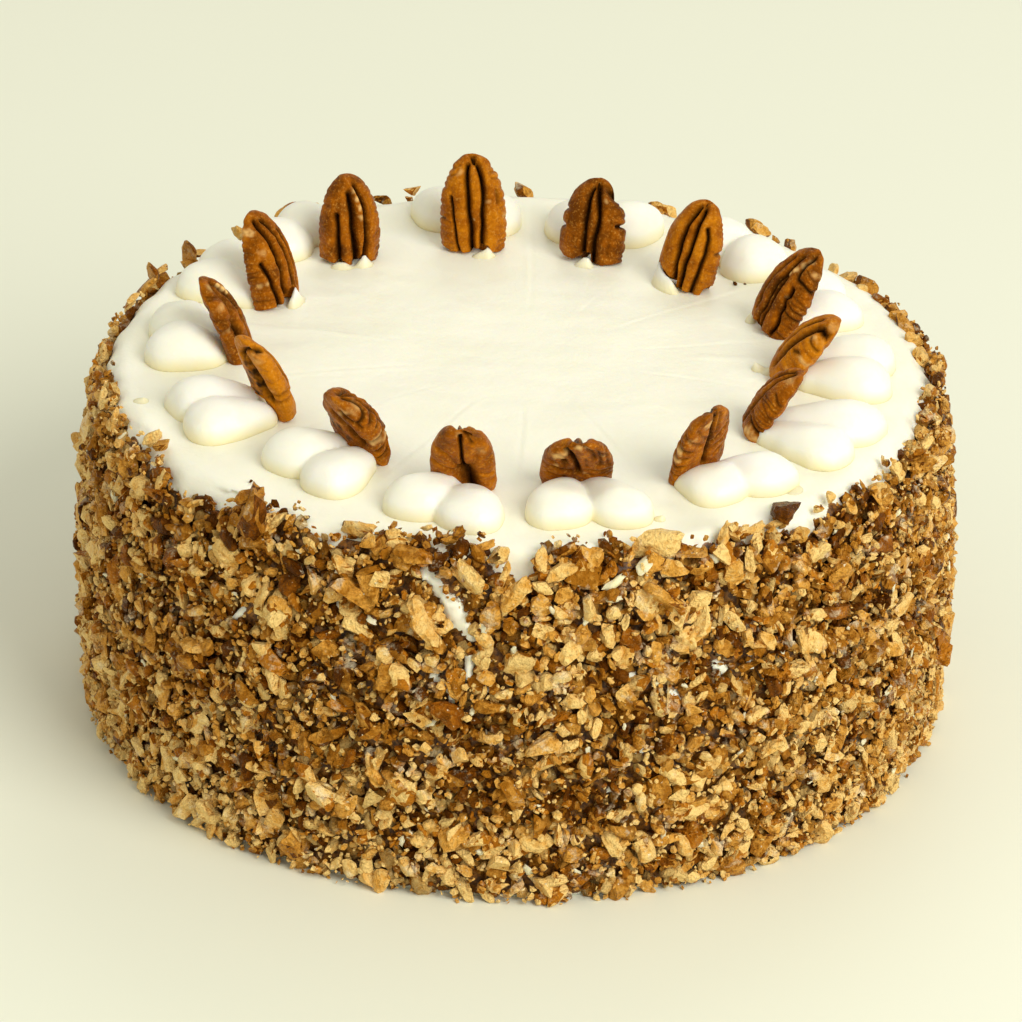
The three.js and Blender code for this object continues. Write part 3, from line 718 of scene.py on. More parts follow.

# shades are painted shade where the half's face turns away from the light
nutLooks = [
    # pale lists paler patches, partly rubbed skin and partly painted highlight
    dict(gold=0.52, rough=0.7, cuts=plainBack + [
        (1.9, 0.42, (1.97, 0.93), (1.98, 0.88), (2.0, 0.8), (1.98, 0.7), (1.97, 0.6), (1.95, 0.5)),
        (2.4, 1.5, (1.95, 0.52), (1.86, 0.45), (1.8, 0.37), (1.76, 0.28)),
        (0.7, 0.8, (1.38, 0.74), (1.5, 0.66), (1.64, 0.56), (1.78, 0.47)),
        (0.55, 0.6, (2.85, 0.77), (2.5, 0.7), (2.25, 0.6), (2.08, 0.52)),
        (0.45, 0.5, (2.95, 0.6), (2.6, 0.56), (2.2, 0.5)),
        (0.45, 0.5, (2.8, 0.46), (2.45, 0.42), (2.15, 0.43)),
        (0.4, 0.9, (2.2, 0.85), (2.25, 0.62)), (0.35, 0.45, (1.35, 0.56), (1.05, 0.62)),
        (0.35, 0.45, (1.5, 0.45), (1.1, 0.42)), (0.3, 0.4, (1.3, 0.34), (1.0, 0.35)),
        (1.8, 1.3, (1.3, 0.93), (1.1, 0.9), (0.75, 0.9)),
        (0.8, 0.5, (1.45, 0.97), (1.52, 0.9), (1.5, 0.84)),
    ], ribs=[], foot=[(-1, 0.2), (1, 0.2)], pale=[(1.3, 0.72, 1.6, 0.3), (2.05, 0.95, 1.2, 0.35)]),
    dict(gold=0.34, rough=1.4, cuts=plainBack + [
        (2.0, 0.6, (2.62, 0.88), (2.45, 0.87), (2.3, 0.83), (2.18, 0.75), (2.06, 0.67), (2.0, 0.58),
         (1.97, 0.48)),
        (1.4, 0.8, (2.46, 0.7), (2.42, 0.66)), (0.8, 0.7, (2.65, 0.56), (2.45, 0.55), (2.2, 0.5)),
        (1.3, 1.3, (2.7, 0.96), (3.05, 0.92)), (0.8, 0.6, (1.62, 0.96), (1.55, 0.85), (1.5, 0.74)),
        (0.7, 0.5, (1.25, 0.86), (1.32, 0.72), (1.36, 0.6)), (0.6, 0.5, (1.05, 0.78), (1.15, 0.6)),
        (0.5, 0.45, (1.78, 0.74), (1.72, 0.6)), (0.5, 0.5, (1.8, 0.55), (1.45, 0.5), (1.12, 0.52)),
        (0.5, 0.5, (1.75, 0.45), (1.4, 0.43), (1.1, 0.43)), (0.5, 0.5, (2.75, 0.45), (2.4, 0.44)),
        (0.6, 0.5, (1.3, 0.36), (1.2, 0.25)), (0.5, 0.45, (2.85, 0.7), (2.6, 0.62)),
    ], ribs=[(1.15, 1.45, 0.45, 0.9, 7, 0.35)], foot=[(-1, 0.2), (1, 0.2)],
        pale=[(2.72, 0.79, 2.2, 0.8), (2.5, 0.84, 1.8, 0.7), (2.05, 0.95, 1.4, 0.8), (1.55, 0.93, 1.1, 0.7),
              (1.2, 0.75, 1.1, 0.4), (1.8, 0.48, 0.8, 0.6), (2.6, 0.6, 1.0, 0.5)]),
    dict(gold=0.45, rough=1.1, cuts=plainBack + [
        (1.7, 0.65, (2.0, 0.97), (1.98, 0.8), (1.95, 0.68), (2.0, 0.58), (2.0, 0.4)),
        (0.7, 0.5, (1.55, 0.93), (1.65, 0.8), (1.78, 0.7)),
        (0.6, 0.45, (1.25, 0.73), (1.55, 0.66), (1.85, 0.62)),
        (0.6, 0.45, (1.2, 0.6), (1.5, 0.55), (1.85, 0.52)), (0.6, 0.45, (1.25, 0.48), (1.65, 0.44)),
        (0.6, 0.5, (2.8, 0.83), (2.5, 0.77), (2.2, 0.7)),
        (0.6, 0.45, (3.15, 0.78), (2.85, 0.72), (2.35, 0.64)),
        (0.7, 0.45, (3.25, 0.68), (2.95, 0.63), (2.65, 0.6)),
        (0.6, 0.42, (3.25, 0.58), (3.0, 0.54), (2.75, 0.53)),
        (0.7, 0.42, (3.2, 0.49), (3.0, 0.45), (2.8, 0.45)), (0.5, 0.4, (3.15, 0.38), (2.9, 0.36)),
    ], ribs=[(2.85, 3.2, 0.3, 0.85, 7, 0.25)], foot=[(-1, 0.2), (1, 0.2)],
        pale=[(2.35, 0.87, 1.8, 0.6), (2.8, 0.74, 1.7, 0.35), (3.02, 0.61, 1.3, 0.9),
              (3.0, 0.525, 0.9, 0.8)]),
    dict(gold=0.42, rough=1.2, cuts=plainFace + [
        (1.4, 0.6, (-0.1, 0.95), (-0.15, 0.8), (-0.2, 0.6), (-0.2, 0.3)),
        (1.2, 0.5, (0.25, 0.95), (0.28, 0.6), (0.3, 0.25)), (0.6, 0.4, (-0.75, 0.76), (-1.0, 0.72)),
        (0.8, 0.4, (-0.5, 0.4), (-0.8, 0.385), (-1.15, 0.37)),
    ], ribs=[(-0.4, -1.12, 0.44, 0.68, 7, 0.42), (0.5, 0.9, 0.3, 0.8, 6, 0.3)],
        foot=[(-1, 0.25), (1, 0.25)],
        pale=[(-0.8, 0.31, 2.0, 0.8), (-1.0, 0.3, 1.4, 0.6), (-0.6, 0.92, 1.6, 0.35)]),
    dict(gold=0.74, rough=0.8, cuts=plainFace + [
        (1.9, 0.7, (-0.33, 0.3), (-0.38, 0.5), (-0.42, 0.62), (-0.48, 0.76), (-0.5, 0.85), (-0.7, 0.89),
         (-0.9, 0.88)),
        (1.1, 0.45, (0.0, 0.9), (0.0, 0.7), (0.05, 0.4)),
        (0.6, 0.4, (-0.75, 0.78), (-0.85, 0.75), (-1.0, 0.73)),
        (0.8, 0.45, (-0.82, 0.6), (-0.7, 0.575)), (0.3, 0.4, (-0.85, 0.66), (-1.1, 0.63)),
        (0.3, 0.5, (-0.6, 0.52), (-0.85, 0.5), (-1.1, 0.48)), (0.3, 0.4, (-0.6, 0.45), (-0.9, 0.43)),
    ], ribs=[(-0.75, -1.1, 0.35, 0.95, 7, 0.25)], foot=[(-1, 0.2), (1, 0.2)],
        pale=[(-0.82, 0.8, 1.3, 0.5), (-1.0, 0.95, 1.5, 0.3), (-0.98, 0.58, 1.0, 0.6),
              (-1.0, 0.4, 1.6, 0.5)]),
    dict(gold=0.3, rough=1.1, cuts=plainFace + [
        (1.9, 0.5, (0.2, 0.9), (0.1, 0.75), (0.14, 0.6), (0.11, 0.45), (0.1, 0.2)),
        (1.9, 0.5, (-0.02, 0.7), (-0.06, 0.55), (-0.1, 0.4), (-0.12, 0.18)),
        (1.1, 0.5, (-0.45, 0.96), (-0.33, 0.88), (-0.4, 0.8), (-0.5, 0.755), (-0.75, 0.745), (-1.08, 0.72)),
        (2.1, 0.45, (-0.5, 0.66), (-0.56, 0.6), (-0.5, 0.55), (-0.62, 0.5), (-0.6, 0.42), (-0.66, 0.36),
         (-0.62, 0.2)),
        (1.0, 0.9, (-0.6, 0.5), (-0.62, 0.47)), (0.7, 0.45, (0.5, 0.85), (0.5, 0.6), (0.45, 0.3)),
        (0.8, 0.6, (-0.2, 1.0), (-0.3, 0.96)),
    ], ribs=[(-0.66, -1.1, 0.27, 0.7, 10, 0.5), (-0.6, -1.05, 0.78, 0.95, 4, 0.35)],
        foot=[(-1, 0.2), (0.6, 0.2), (0.75, 0.27), (1, 0.3)],
        smears=[[(0.98, 1.6), (0.85, 3.0), (0.7, 2.0)]],
        pale=[(-0.05, 0.74, 1.1, 0.8), (-0.15, 0.8, 1.2, 0.9), (-0.3, 0.86, 1.2, 0.8),
              (-0.45, 0.92, 1.2, 0.6),
              (-0.9, 0.86, 1.1, 0.5), (-0.5, 0.57, 0.7, 0.6)]),
    dict(gold=0.58, rough=0.6, cuts=plainFace + [
        (2.3, 0.6, (0.33, 0.94), (0.31, 0.8), (0.3, 0.68), (0.26, 0.57), (0.21, 0.45), (0.17, 0.3),
         (0.15, 0.12)),
        (2.3, 0.6, (-0.15, 0.94), (-0.14, 0.75), (-0.13, 0.6), (-0.12, 0.45), (-0.12, 0.15)),
        (1.5, 0.5, (-0.6, 0.8), (-0.7, 0.7), (-0.67, 0.6), (-0.64, 0.45), (-0.58, 0.32), (-0.52, 0.15)),
        (0.9, 0.8, (0.05, 1.0), (0.1, 0.95)), (0.8, 0.5, (-0.95, 0.6), (-1.2, 0.6)),
    ], ribs=[(-0.72, -1.08, 0.3, 0.92, 15, 0.22)],
        foot=[(-1, 0.3), (-0.86, 0.27), (-0.8, 0.2), (0.02, 0.2), (0.1, 0.25), (0.5, 0.3), (0.86, 0.35),
              (0.93, 0.2), (1, 0.2)],
        smears=[[(0.9, 6.4), (0.8, 5.6), (0.6, 4.4), (0.4, 3.8), (0.22, 3.2), (0.05, 1.2)]], pale=[]),
    dict(gold=0.14, rough=0.9, cuts=plainFace + [
        (2.2, 0.55, (0.25, 0.92), (0.22, 0.75), (0.22, 0.6), (0.18, 0.45), (0.15, 0.2)),
        (2.6, 0.75, (-0.08, 0.94), (-0.17, 0.8), (-0.2, 0.68), (-0.2, 0.55), (-0.16, 0.42), (-0.12, 0.2)),
        (0.6, 0.6, (-0.52, 0.68), (-0.62, 0.6), (-0.6, 0.5), (-0.58, 0.42), (-0.6, 0.3)),
        (1.2, 0.5, (0.92, 0.53), (1.2, 0.52)), (0.9, 0.5, (0.95, 0.68), (1.2, 0.68)),
        (2.1, 1.4, (-0.82, 0.89), (-1.0, 0.86), (-1.2, 0.81)),
        (1.7, 0.5, (-0.82, 0.585), (-1.0, 0.585), (-1.2, 0.585)),
    ], ribs=[(-0.7, -1.05, 0.25, 0.78, 6, 0.3)],
        foot=[(-1, 0.24), (-0.8, 0.22), (-0.5, 0.21), (-0.14, 0.22), (-0.08, 0.31), (0.22, 0.31),
              (0.3, 0.27),
              (0.5, 0.23), (0.8, 0.24), (1, 0.27)], smears=[[(0.26, 1.0), (0.12, 2.6), (-0.02, 2.9),
                                                             (-0.08, 1.2)]],
        pale=[(-0.45, 0.82, 0.8, 0.5), (0.2, 0.5, 0.5, 0.8)]),
    dict(gold=0.62, rough=1.0, cuts=plainFace + [
        (2.4, 0.6, (0.28, 0.92), (0.2, 0.8), (0.18, 0.7), (0.13, 0.55), (0.1, 0.45), (0.05, 0.3),
         (0.03, 0.12)),
        (2.4, 0.6, (-0.3, 0.93), (-0.34, 0.8), (-0.32, 0.65), (-0.28, 0.5), (-0.27, 0.35), (-0.28, 0.12)),
        (1.4, 0.4, (0.76, 0.66), (0.68, 0.58), (0.62, 0.48), (0.58, 0.36), (0.5, 0.15)),
        (0.7, 0.4, (0.93, 0.47), (1.2, 0.47)), (1.9, 0.6, (-0.08, 1.0), (-0.12, 0.95)),
        (0.7, 0.5, (-0.75, 0.6), (-0.8, 0.7)),
    ], ribs=[(-0.7, -1.08, 0.22, 0.9, 13, 0.35), (0.72, 1.08, 0.22, 0.9, 12, 0.32)],
        foot=[(-1, 0.2), (-0.9, 0.18), (-0.55, 0.18), (-0.45, 0.25), (-0.3, 0.25), (-0.15, 0.22),
              (0.05, 0.215),
              (0.15, 0.19), (0.8, 0.2), (1, 0.24)], smears=[[(-0.1, 0.9), (-0.3, 1.7), (-0.44, 2.6),
                                                             (-0.5, 1.2)]],
        pale=[(0.55, 0.86, 1.4, 0.4), (-0.45, 0.62, 0.8, 0.5), (-0.9, 0.5, 1.0, 0.5),
              (0.0, 0.47, 0.5, 0.8)]),
    dict(gold=0.34, rough=0.8, cuts=plainFace + [
        (2.1, 0.6, (0.68, 0.67), (0.64, 0.58), (0.62, 0.45), (0.6, 0.3), (0.58, 0.12)),
        (2.7, 0.8, (0.18, 0.87), (0.13, 0.74), (0.1, 0.6), (0.07, 0.45), (0.02, 0.3), (0.0, 0.12)),
        (2.1, 0.55, (-0.28, 0.92), (-0.38, 0.8), (-0.4, 0.7), (-0.38, 0.55), (-0.35, 0.45), (-0.33, 0.3),
         (-0.35, 0.12)),
        (0.6, 0.6, (-0.58, 0.87), (-0.65, 0.76), (-0.68, 0.66)),
        (0.4, 0.7, (0.6, 0.9), (0.66, 0.8), (0.68, 0.68)),
        (0.5, 0.8, (0.42, 0.88), (0.4, 0.8), (0.33, 0.7)), (0.5, 0.5, (0.96, 0.75), (1.15, 0.75)),
    ], ribs=[(0.75, 1.08, 0.22, 0.85, 9, 0.22), (-0.72, -1.08, 0.25, 0.88, 10, 0.35)],
        foot=[(-1, 0.24), (-0.8, 0.2), (-0.45, 0.21), (-0.32, 0.28), (-0.2, 0.3), (-0.08, 0.23),
              (0.05, 0.2),
              (0.32, 0.2), (0.42, 0.25), (0.6, 0.25), (0.75, 0.22), (1, 0.25)],
        smears=[[(0.7, 0.9), (0.58, 1.9), (0.4, 1.8), (0.28, 0.9)],
                [(-0.1, 1.6), (-0.26, 3.6), (-0.4, 1.6)]],
        pale=[(-0.12, 0.88, 1.1, 0.7), (-0.17, 0.81, 1.1, 0.8), (-0.2, 0.73, 1.0, 0.8),
              (-0.18, 0.65, 0.9, 0.6)]),
    dict(gold=0.4, rough=0.9, cuts=plainFace + [
        (2.1, 0.6, (0.45, 0.94), (0.3, 0.85), (0.15, 0.75), (0.06, 0.62), (0.07, 0.5), (0.1, 0.42),
         (0.1, 0.2)),
        (1.5, 0.45, (-0.1, 0.92), (-0.33, 0.75), (-0.37, 0.6), (-0.36, 0.45), (-0.35, 0.25)),
        (1.8, 0.5, (0.74, 0.6), (0.68, 0.5), (0.57, 0.42), (0.5, 0.34), (0.45, 0.15)),
        (0.5, 0.5, (0.96, 0.7), (1.15, 0.7)), (0.9, 0.4, (-0.6, 0.8), (-0.65, 0.6), (-0.62, 0.3)),
    ], ribs=[(0.5, 1.12, 0.24, 0.92, 17, 0.3)],
        foot=[(-1, 0.18), (-0.68, 0.19), (-0.55, 0.26), (-0.4, 0.32), (-0.1, 0.31), (0.1, 0.26),
              (0.2, 0.2), (1, 0.21)],
        smears=[[(-0.1, 2.0), (-0.3, 3.4), (-0.42, 4.8), (-0.55, 3.0), (-0.75, 1.2)]],
        pale=[(0.95, 0.87, 1.2, 0.8), (0.8, 0.86, 1.1, 0.8), (0.7, 0.43, 1.0, 0.6), (0.92, 0.42, 1.0, 0.5),
              (0.62, 0.7, 1.6, 0.35)]),
    dict(gold=0.25, rough=0.9, cuts=plainFace + [
        (1.3, 1.2, (0.3, 0.9), (0.42, 0.78), (0.48, 0.66), (0.52, 0.56)),
        (2.2, 1.1, (0.6, 0.54), (0.7, 0.46)),
        (0.7, 0.5, (0.98, 0.88), (0.7, 0.84)), (0.6, 0.5, (1.15, 0.68), (0.8, 0.63), (0.62, 0.6)),
        (0.6, 0.5, (1.15, 0.58), (0.85, 0.54)), (0.7, 0.5, (0.0, 0.85), (0.05, 0.6), (0.1, 0.35)),
        (1.5, 0.5, (-0.15, 0.92), (-0.12, 0.7), (-0.1, 0.3)),
    ], ribs=[(0.75, 1.2, 0.35, 0.6, 3, 0.3)], foot=[(-1, 0.2), (1, 0.2)],
        pale=[(0.62, 0.93, 1.3, 0.5), (-0.3, 0.86, 0.8, 1.3), (-0.31, 0.82, 0.8, 1.4),
              (-0.32, 0.78, 0.8, 1.3),
              (0.9, 0.55, 1.0, 0.4), (0.85, 0.76, 1.3, 0.4)]),
    dict(gold=0.9, rough=0.6, cuts=plainBack + [
        (1.2, 0.5, (0.85, 0.86), (1.2, 0.91), (1.7, 0.905), (2.05, 0.86), (2.3, 0.8)),
        (3.0, 1.2, (1.95, 0.8), (1.78, 0.72), (1.68, 0.62), (1.62, 0.52), (1.5, 0.42)),
        (0.6, 0.5, (1.25, 0.47), (0.85, 0.44)), (0.5, 0.45, (1.3, 0.4), (0.85, 0.38)),
        (0.35, 0.45, (1.2, 0.6), (0.8, 0.58)), (0.3, 0.5, (1.3, 0.72), (0.9, 0.68)),
    ], ribs=[], foot=[(-1, 0.4), (0.4, 0.41), (0.66, 0.37), (0.76, 0.2), (1, 0.2)],
        pale=[(1.2, 0.82, 1.8, 0.35), (1.2, 0.52, 1.0, 0.3)],
        paintedShades=[(2.2, 0.72, 2.6, 0.8), (2.0, 0.62, 2.8, 1), (1.85, 0.52, 2.6, 1), (2.4, 0.55, 3.0, 0.9),
                (2.2, 0.42, 3.0, 1)]),
    dict(gold=0.36, rough=1.5, cuts=plainBack + [
        (1.6, 1.0, (2.2, 0.8), (1.85, 0.74), (1.55, 0.62), (1.35, 0.5)),
        (0.9, 0.45, (0.75, 0.96), (0.8, 0.86), (1.0, 0.78), (1.2, 0.76)),
        (0.8, 0.45, (0.5, 0.86), (0.62, 0.75), (0.9, 0.7)),
        (0.8, 0.45, (0.35, 0.72), (0.6, 0.64), (0.9, 0.62)),
        (0.7, 0.45, (0.5, 0.55), (0.9, 0.52), (1.2, 0.54)),
        (0.7, 0.4, (0.6, 0.44), (1.05, 0.42)), (0.7, 0.4, (0.7, 0.35), (1.1, 0.34)),
        (0.8, 0.5, (1.5, 0.88), (1.3, 0.8), (1.1, 0.72)),
    ], ribs=[(0.7, 1.2, 0.3, 0.9, 7, 0.3)],
        foot=[(-1, 0.42), (0.5, 0.44), (0.75, 0.43), (0.85, 0.36), (0.92, 0.26), (1, 0.2)],
        pale=[(1.02, 0.53, 1.5, 0.8), (0.85, 0.47, 1.2, 0.6), (1.2, 0.9, 1.0, 0.5), (0.9, 0.88, 1.4, 0.5),
              (1.6, 0.86, 0.9, 0.5)],
        paintedShades=[(2.1, 0.62, 2.2, 0.9), (1.9, 0.52, 2.0, 0.8), (2.5, 0.6, 2.5, 0.8), (0.8, 0.6, 1.2, 0.3)]),
]


def surfacePoint(half, around, share):
    # a place on the half's own map, in mm from where its foot stands
    across = np.where(around > 1, 2 - around, around)
    girth = np.clip(1 - np.abs(2 * share ** 0.8 - 1) ** 2.6, 0, 1) ** 0.55
    body = np.sqrt(np.clip(1 - np.abs(across) ** 2.3, 0, 1))
    high = np.where(around > 1, -pecan["faceHigh"], pecan["backHigh"]) * body
    return np.stack([pecan["bend"] * (2 * share - 1) ** 2 - half["thick"] * high * girth,
                     across * half["wide"] / 2 * girth, share * half["long"] - pecan["pressedIn"]], axis=1)


def ballToMap(points):
    # where each corner of a ball is on the half's map
    share = 0.6 * (1 - np.arccos(np.clip(points[:, 2], -1, 1)) / math.pi) + 0.2 * (1 + points[:, 2])
    turn = np.arctan2(points[:, 1], points[:, 0])
    across = 0.4 * np.cos(turn) + 0.6 * (1 - 2 * np.abs(turn) / math.pi)
    return np.where(turn >= 0, across, 2 - across), share


def nutMatrix(half):
    return (Matrix.Translation((ring["radius"] / mm + half["out"], 0, 0))
            @ Matrix.Rotation(math.radians(half["lean"]), 4, "Y")
            @ Matrix.Rotation(math.radians(-half["tilt"]), 4, "X")
            @ Matrix.Rotation(math.radians(half["spin"]), 4, "Z"))


def nearRoute(route, around, share, reach, length):
    nearest = np.full(len(around), 99.0)
    for (firstRound, firstShare), (nextRound, nextShare) in zip(route, route[1:]):
        x = ((around - firstRound + 2) % 4 - 2) * reach
        y = (share - firstShare) * length
        dx, dy = (nextRound - firstRound) * reach, (nextShare - firstShare) * length
        part = np.clip((x * dx + y * dy) / np.maximum(dx * dx + dy * dy, 1e-9), 0, 1)
        nearest = np.minimum(nearest, np.hypot(x - part * dx, y - part * dy))
    return nearest


def ribRoutes(look, draw):
    for start, end, lowest, highest, count, depth in look["ribs"]:
        for level in np.linspace(lowest, highest, count):
            level += draw.uniform(-0.3, 0.3) * (highest - lowest) / count
            slant = draw.uniform(-0.02, 0.03)
            first = start + draw.uniform(-0.05, 0.12) * (end - start)
            yield (depth * draw.uniform(0.6, 1.3), draw.uniform(0.3, 0.45), (first, level + slant),
                   ((start + end) / 2, level + draw.uniform(-0.008, 0.008)), (end, level - slant))


def makePecan(number, half, look, material):
    name = f"pecan_{number + 1:02d}"
    seed = pecan["seed"] + 10 * number
    draw = np.random.default_rng(seed)
    bm = bmesh.new()
    bmesh.ops.create_uvsphere(bm, u_segments=pecan["around"], v_segments=pecan["along"], radius=1)
    around, share = ballToMap(pointsOf(bm))
    shaped = surfacePoint(half, around, share)
    reach = half["wide"] / 2 * np.clip(1 - np.abs(2 * share ** 0.8 - 1) ** 2.6, 0.01, 1) ** 0.55
    movePoints(bm, shaped)
    bm.normal_update()
    normals = np.array([vert.normal for vert in bm.verts])
    around = around + 0.03 * waves(shaped, 7, seed + 1)
    share = share + 0.008 * waves(shaped, 6, seed + 2)
    groove = np.zeros(len(shaped))
    hollow = np.zeros(len(shaped))
    dark = np.zeros(len(shaped))
    uneven = 1 + 0.22 * waves(shaped, 5, seed + 3)
    for depth, width, *route in look["cuts"] + list(ribRoutes(look, draw)):
        nearest = nearRoute(route, around, share, reach, half["long"])
        shape = np.exp(-(nearest / (width * uneven)) ** 1.6)
        if width < 1:
            groove = np.maximum(groove, depth * shape)
            hollow += 0.12 * depth * bell(nearest, 2.2 * width + 0.4)
        else:
            hollow += depth * shape
        # painted shade: the deeper and narrower a cut, the darker its skin is painted, as the shade in the
        # groove
        dark = np.maximum(dark, bell(nearest, 1.25 * width) * smoothstep(0.3, 2.4, depth / min(width, 1.2)))
    knobs = 0.13 * waves(shaped, 4.2, seed + 5, 12) + 0.06 * waves(shaped, 1.9, seed + 6, 12)
    knobs *= look["rough"]
    shaped = shaped + normals * (knobs - groove - hollow)[:, None]
    places, levels = np.array(look["foot"]).T
    lowest = np.interp(np.where(around > 1, 2 - around, around), places, levels) * half["long"]
    lowest -= pecan["pressedIn"]
    shaped[:, 2] = np.maximum(shaped[:, 2], lowest + 0.15 * waves(shaped * (1, 1, 0), 2.5, seed + 7))
    movePoints(bm, shaped)
    # pale patches: partly paler, rubbed skin and partly painted highlight on ridges and tips
    pale = np.zeros(len(shaped))
    mottle = 0.5 + 0.5 * waves(shaped, 1.6, seed + 8, 12)
    # pale patches and the painted shade blots are laid on in the same way
    for marked, blots in ((pale, look["pale"]), (dark, look.get("paintedShades", ()))):
        for place, level, size, strength in blots:
            away = np.hypot(((around - place + 2) % 4 - 2) * reach, (share - level) * half["long"])
            np.maximum(marked, strength * smoothstep(1.2, 0.3, away / size + 0.5 * mottle), out=marked)
    tone = np.clip(look["gold"] + 0.14 * waves(shaped, 9, seed + 9), 0, 1)
    # per corner: painted shade, the skin's tone, and pale patches that are partly painted highlight
    marks = bm.verts.layers.float_color.new("skinToneAndPaintedLight")
    for vert, *mark in zip(bm.verts, dark, tone, pale):
        vert[marks] = (*mark, 1)
    bmesh.ops.transform(bm, verts=bm.verts[:],
                        matrix=spokeMatrix(number, half["turn"]) @ Matrix.Scale(mm, 4) @ nutMatrix(half))
    data = meshFrom(bm, name)
    cutLevel(data, iceTop - pecan["sunk"] * mm)
    return finishPiece(name, data, material, "pecan", f"pecan_half_{number + 1:02d}")


# dark, brown and golden are the skin's own tones; groove is painted shade in the cuts
pecanColours = {
    "dark": (0.130, 0.033, 0.0015), "brown": (0.34, 0.092, 0.002), "golden": (0.60, 0.205, 0.005),
    "groove": (0.020, 0.006, 0.001), "scuffedAndHighlight": (0.95, 0.62, 0.23), "speck": (0.78, 0.38, 0.07),
    "shine": (1.0, 0.52, 0.09),
}


def pecanMaterial():
    material, nodes, links, shader = newMaterial("pecan skin")
    where = objectPoints(nodes)
    # dark is painted shade in the grooves and on the side turned from the light; gold is the skin's tone
    dark, gold, scuffAndHighlight = addMarks(nodes, links, "skinToneAndPaintedLight")
    mottle = addNoise(nodes, links, where, 260, 5, 0.65)
    fine = addNoise(nodes, links, where, 1300, 4, 0.6)
    tone = addMath(nodes, links, "ADD", gold, addRange(nodes, links, mottle, 0.25, 0.75, -0.5, 0.5))
    skin = addRamp(nodes, links, tone, [(0.0, pecanColours["dark"]), (0.45, pecanColours["brown"]),
                                       (1.0, pecanColours["golden"])])
    grit = addNoise(nodes, links, where, 1500, 3, 0.7)
    # scuff mixes in the pale patches, partly rubbed skin and partly painted highlight
    for marked, limits, tint in ((fine, (0.35, 0.75, 0.0, 0.3), "dark"),
                                 (grit, (0.54, 0.72, 0.0, 0.5), "speck"),
                                 (scuffAndHighlight, (0.0, 1.0, 0.0, 0.85), "scuffedAndHighlight"),
                                 (dark, (0.1, 0.95, 0.0, 1.0), "groove")):
        skin = addMix(nodes, links, addRange(nodes, links, marked, *limits), skin, pecanColours[tint])
    links.new(skin, shader.inputs["Base Color"])
    links.new(addRange(nodes, links, fine, 0.3, 0.7, 0.3, 0.5), shader.inputs["Roughness"])
    shader.inputs["Specular IOR Level"].default_value = 0.2
    shader.inputs["Specular Tint"].default_value = (*pecanColours["shine"], 1)
    height = addMath(nodes, links, "ADD", addMath(nodes, links, "MULTIPLY", fine, 0.4), mottle)
    addBump(nodes, links, shader, height, 0.8 * mm)
    return material


# ---- chopped nuts
# what changes over the coat, in mm
coatMood = {
    "radius": 103,
    "swell": 0.7, "swellSize": 15,       # how much thicker or thinner it is, and over what length
    "tone": 0.2, "toneSize": 22,         # lighter and darker patches
    # painted light: nuts are painted paler and more often flesh towards the foot, where less light reaches
    # the wall
    "paintedLowLight": 0.25, "liftedTo": 50,     # paler nuts towards the foot, and up to where
    # painted shade: nuts lying deep in the coat are painted darker, down to the darkest skin, as the shade
    # between the pieces
    "deep": 0.6, "proud": 2.8,           # where a nut is darkest, and from where it has its full colour
    "laidWidth": 0.7,                    # the pieces laid one by one are this much narrower
    "seed": 60,
}


def chopTemplate(draw, kind):
    # a lump between round and square, skewed and lumpy, rough but for its skin side, then cut flat in
    # places; returns corners, triangles and which are skin
    bm = bmesh.new()
    if kind["fine"]:
        bmesh.ops.create_icosphere(bm, subdivisions=kind["fine"], radius=0.5)
    else:
        bmesh.ops.create_cube(bm, size=0.8)
    skinSide = Vector(draw.normal(size=3)).normalized()
    points = pointsOf(bm)
    boxy = 0.5 * points / ((np.abs(points) ** 5).sum(1) ** 0.2)[:, None]
    points += draw.uniform(0.2, 0.9) * (boxy - points)
    broken = (points @ np.array(skinSide) < 0.15)[:, None]
    rough = kind["rough"] * draw.normal(size=(len(points), 1)) * broken
    points *= 1 + kind["lumpy"] * waves(points, 0.6, int(draw.integers(9999)))[:, None] + rough
    points = points @ (np.eye(3) + draw.uniform(-0.3, 0.3, (3, 3)))
    movePoints(bm, points)
    bm.normal_update()
    skin = bm.faces.layers.int.new("skin")
    for face in bm.faces:
        face[skin] = int(face.normal.dot(skinSide) > 0.35)
    for _ in range(kind["cuts"]):
        normal = Vector(draw.normal(size=3)).normalized()
        place = normal * draw.uniform(0.12, 0.42)
        sliced = bmesh.ops.bisect_plane(bm, geom=bm.verts[:] + bm.edges[:] + bm.faces[:], dist=0.03,
                                        plane_co=place, plane_no=normal, clear_outer=True)
        rim = [item for item in sliced["geom_cut"] if isinstance(item, bmesh.types.BMEdge)]
        for face in bmesh.ops.holes_fill(bm, edges=rim, sides=0)["faces"]:
            face[skin] = 0
    shares = (1.0, draw.uniform(*kind["narrow"]), draw.uniform(*kind["flat"]))
    bmesh.ops.scale(bm, vec=shares, verts=bm.verts[:])
    bmesh.ops.triangulate(bm, faces=bm.faces[:])
    bmesh.ops.recalc_face_normals(bm, faces=bm.faces[:])
    bm.verts.index_update()
    corners = pointsOf(bm)
    centre = (corners.min(0) + corners.max(0)) / 2
    corners = (corners - centre) / (corners.max(0) - corners.min(0)).max()
    triangles = np.array([[vert.index for vert in face.verts] for face in bm.faces])
    isSkin = np.array([face[skin] for face in bm.faces])
    bm.free()
    return corners, triangles, isSkin


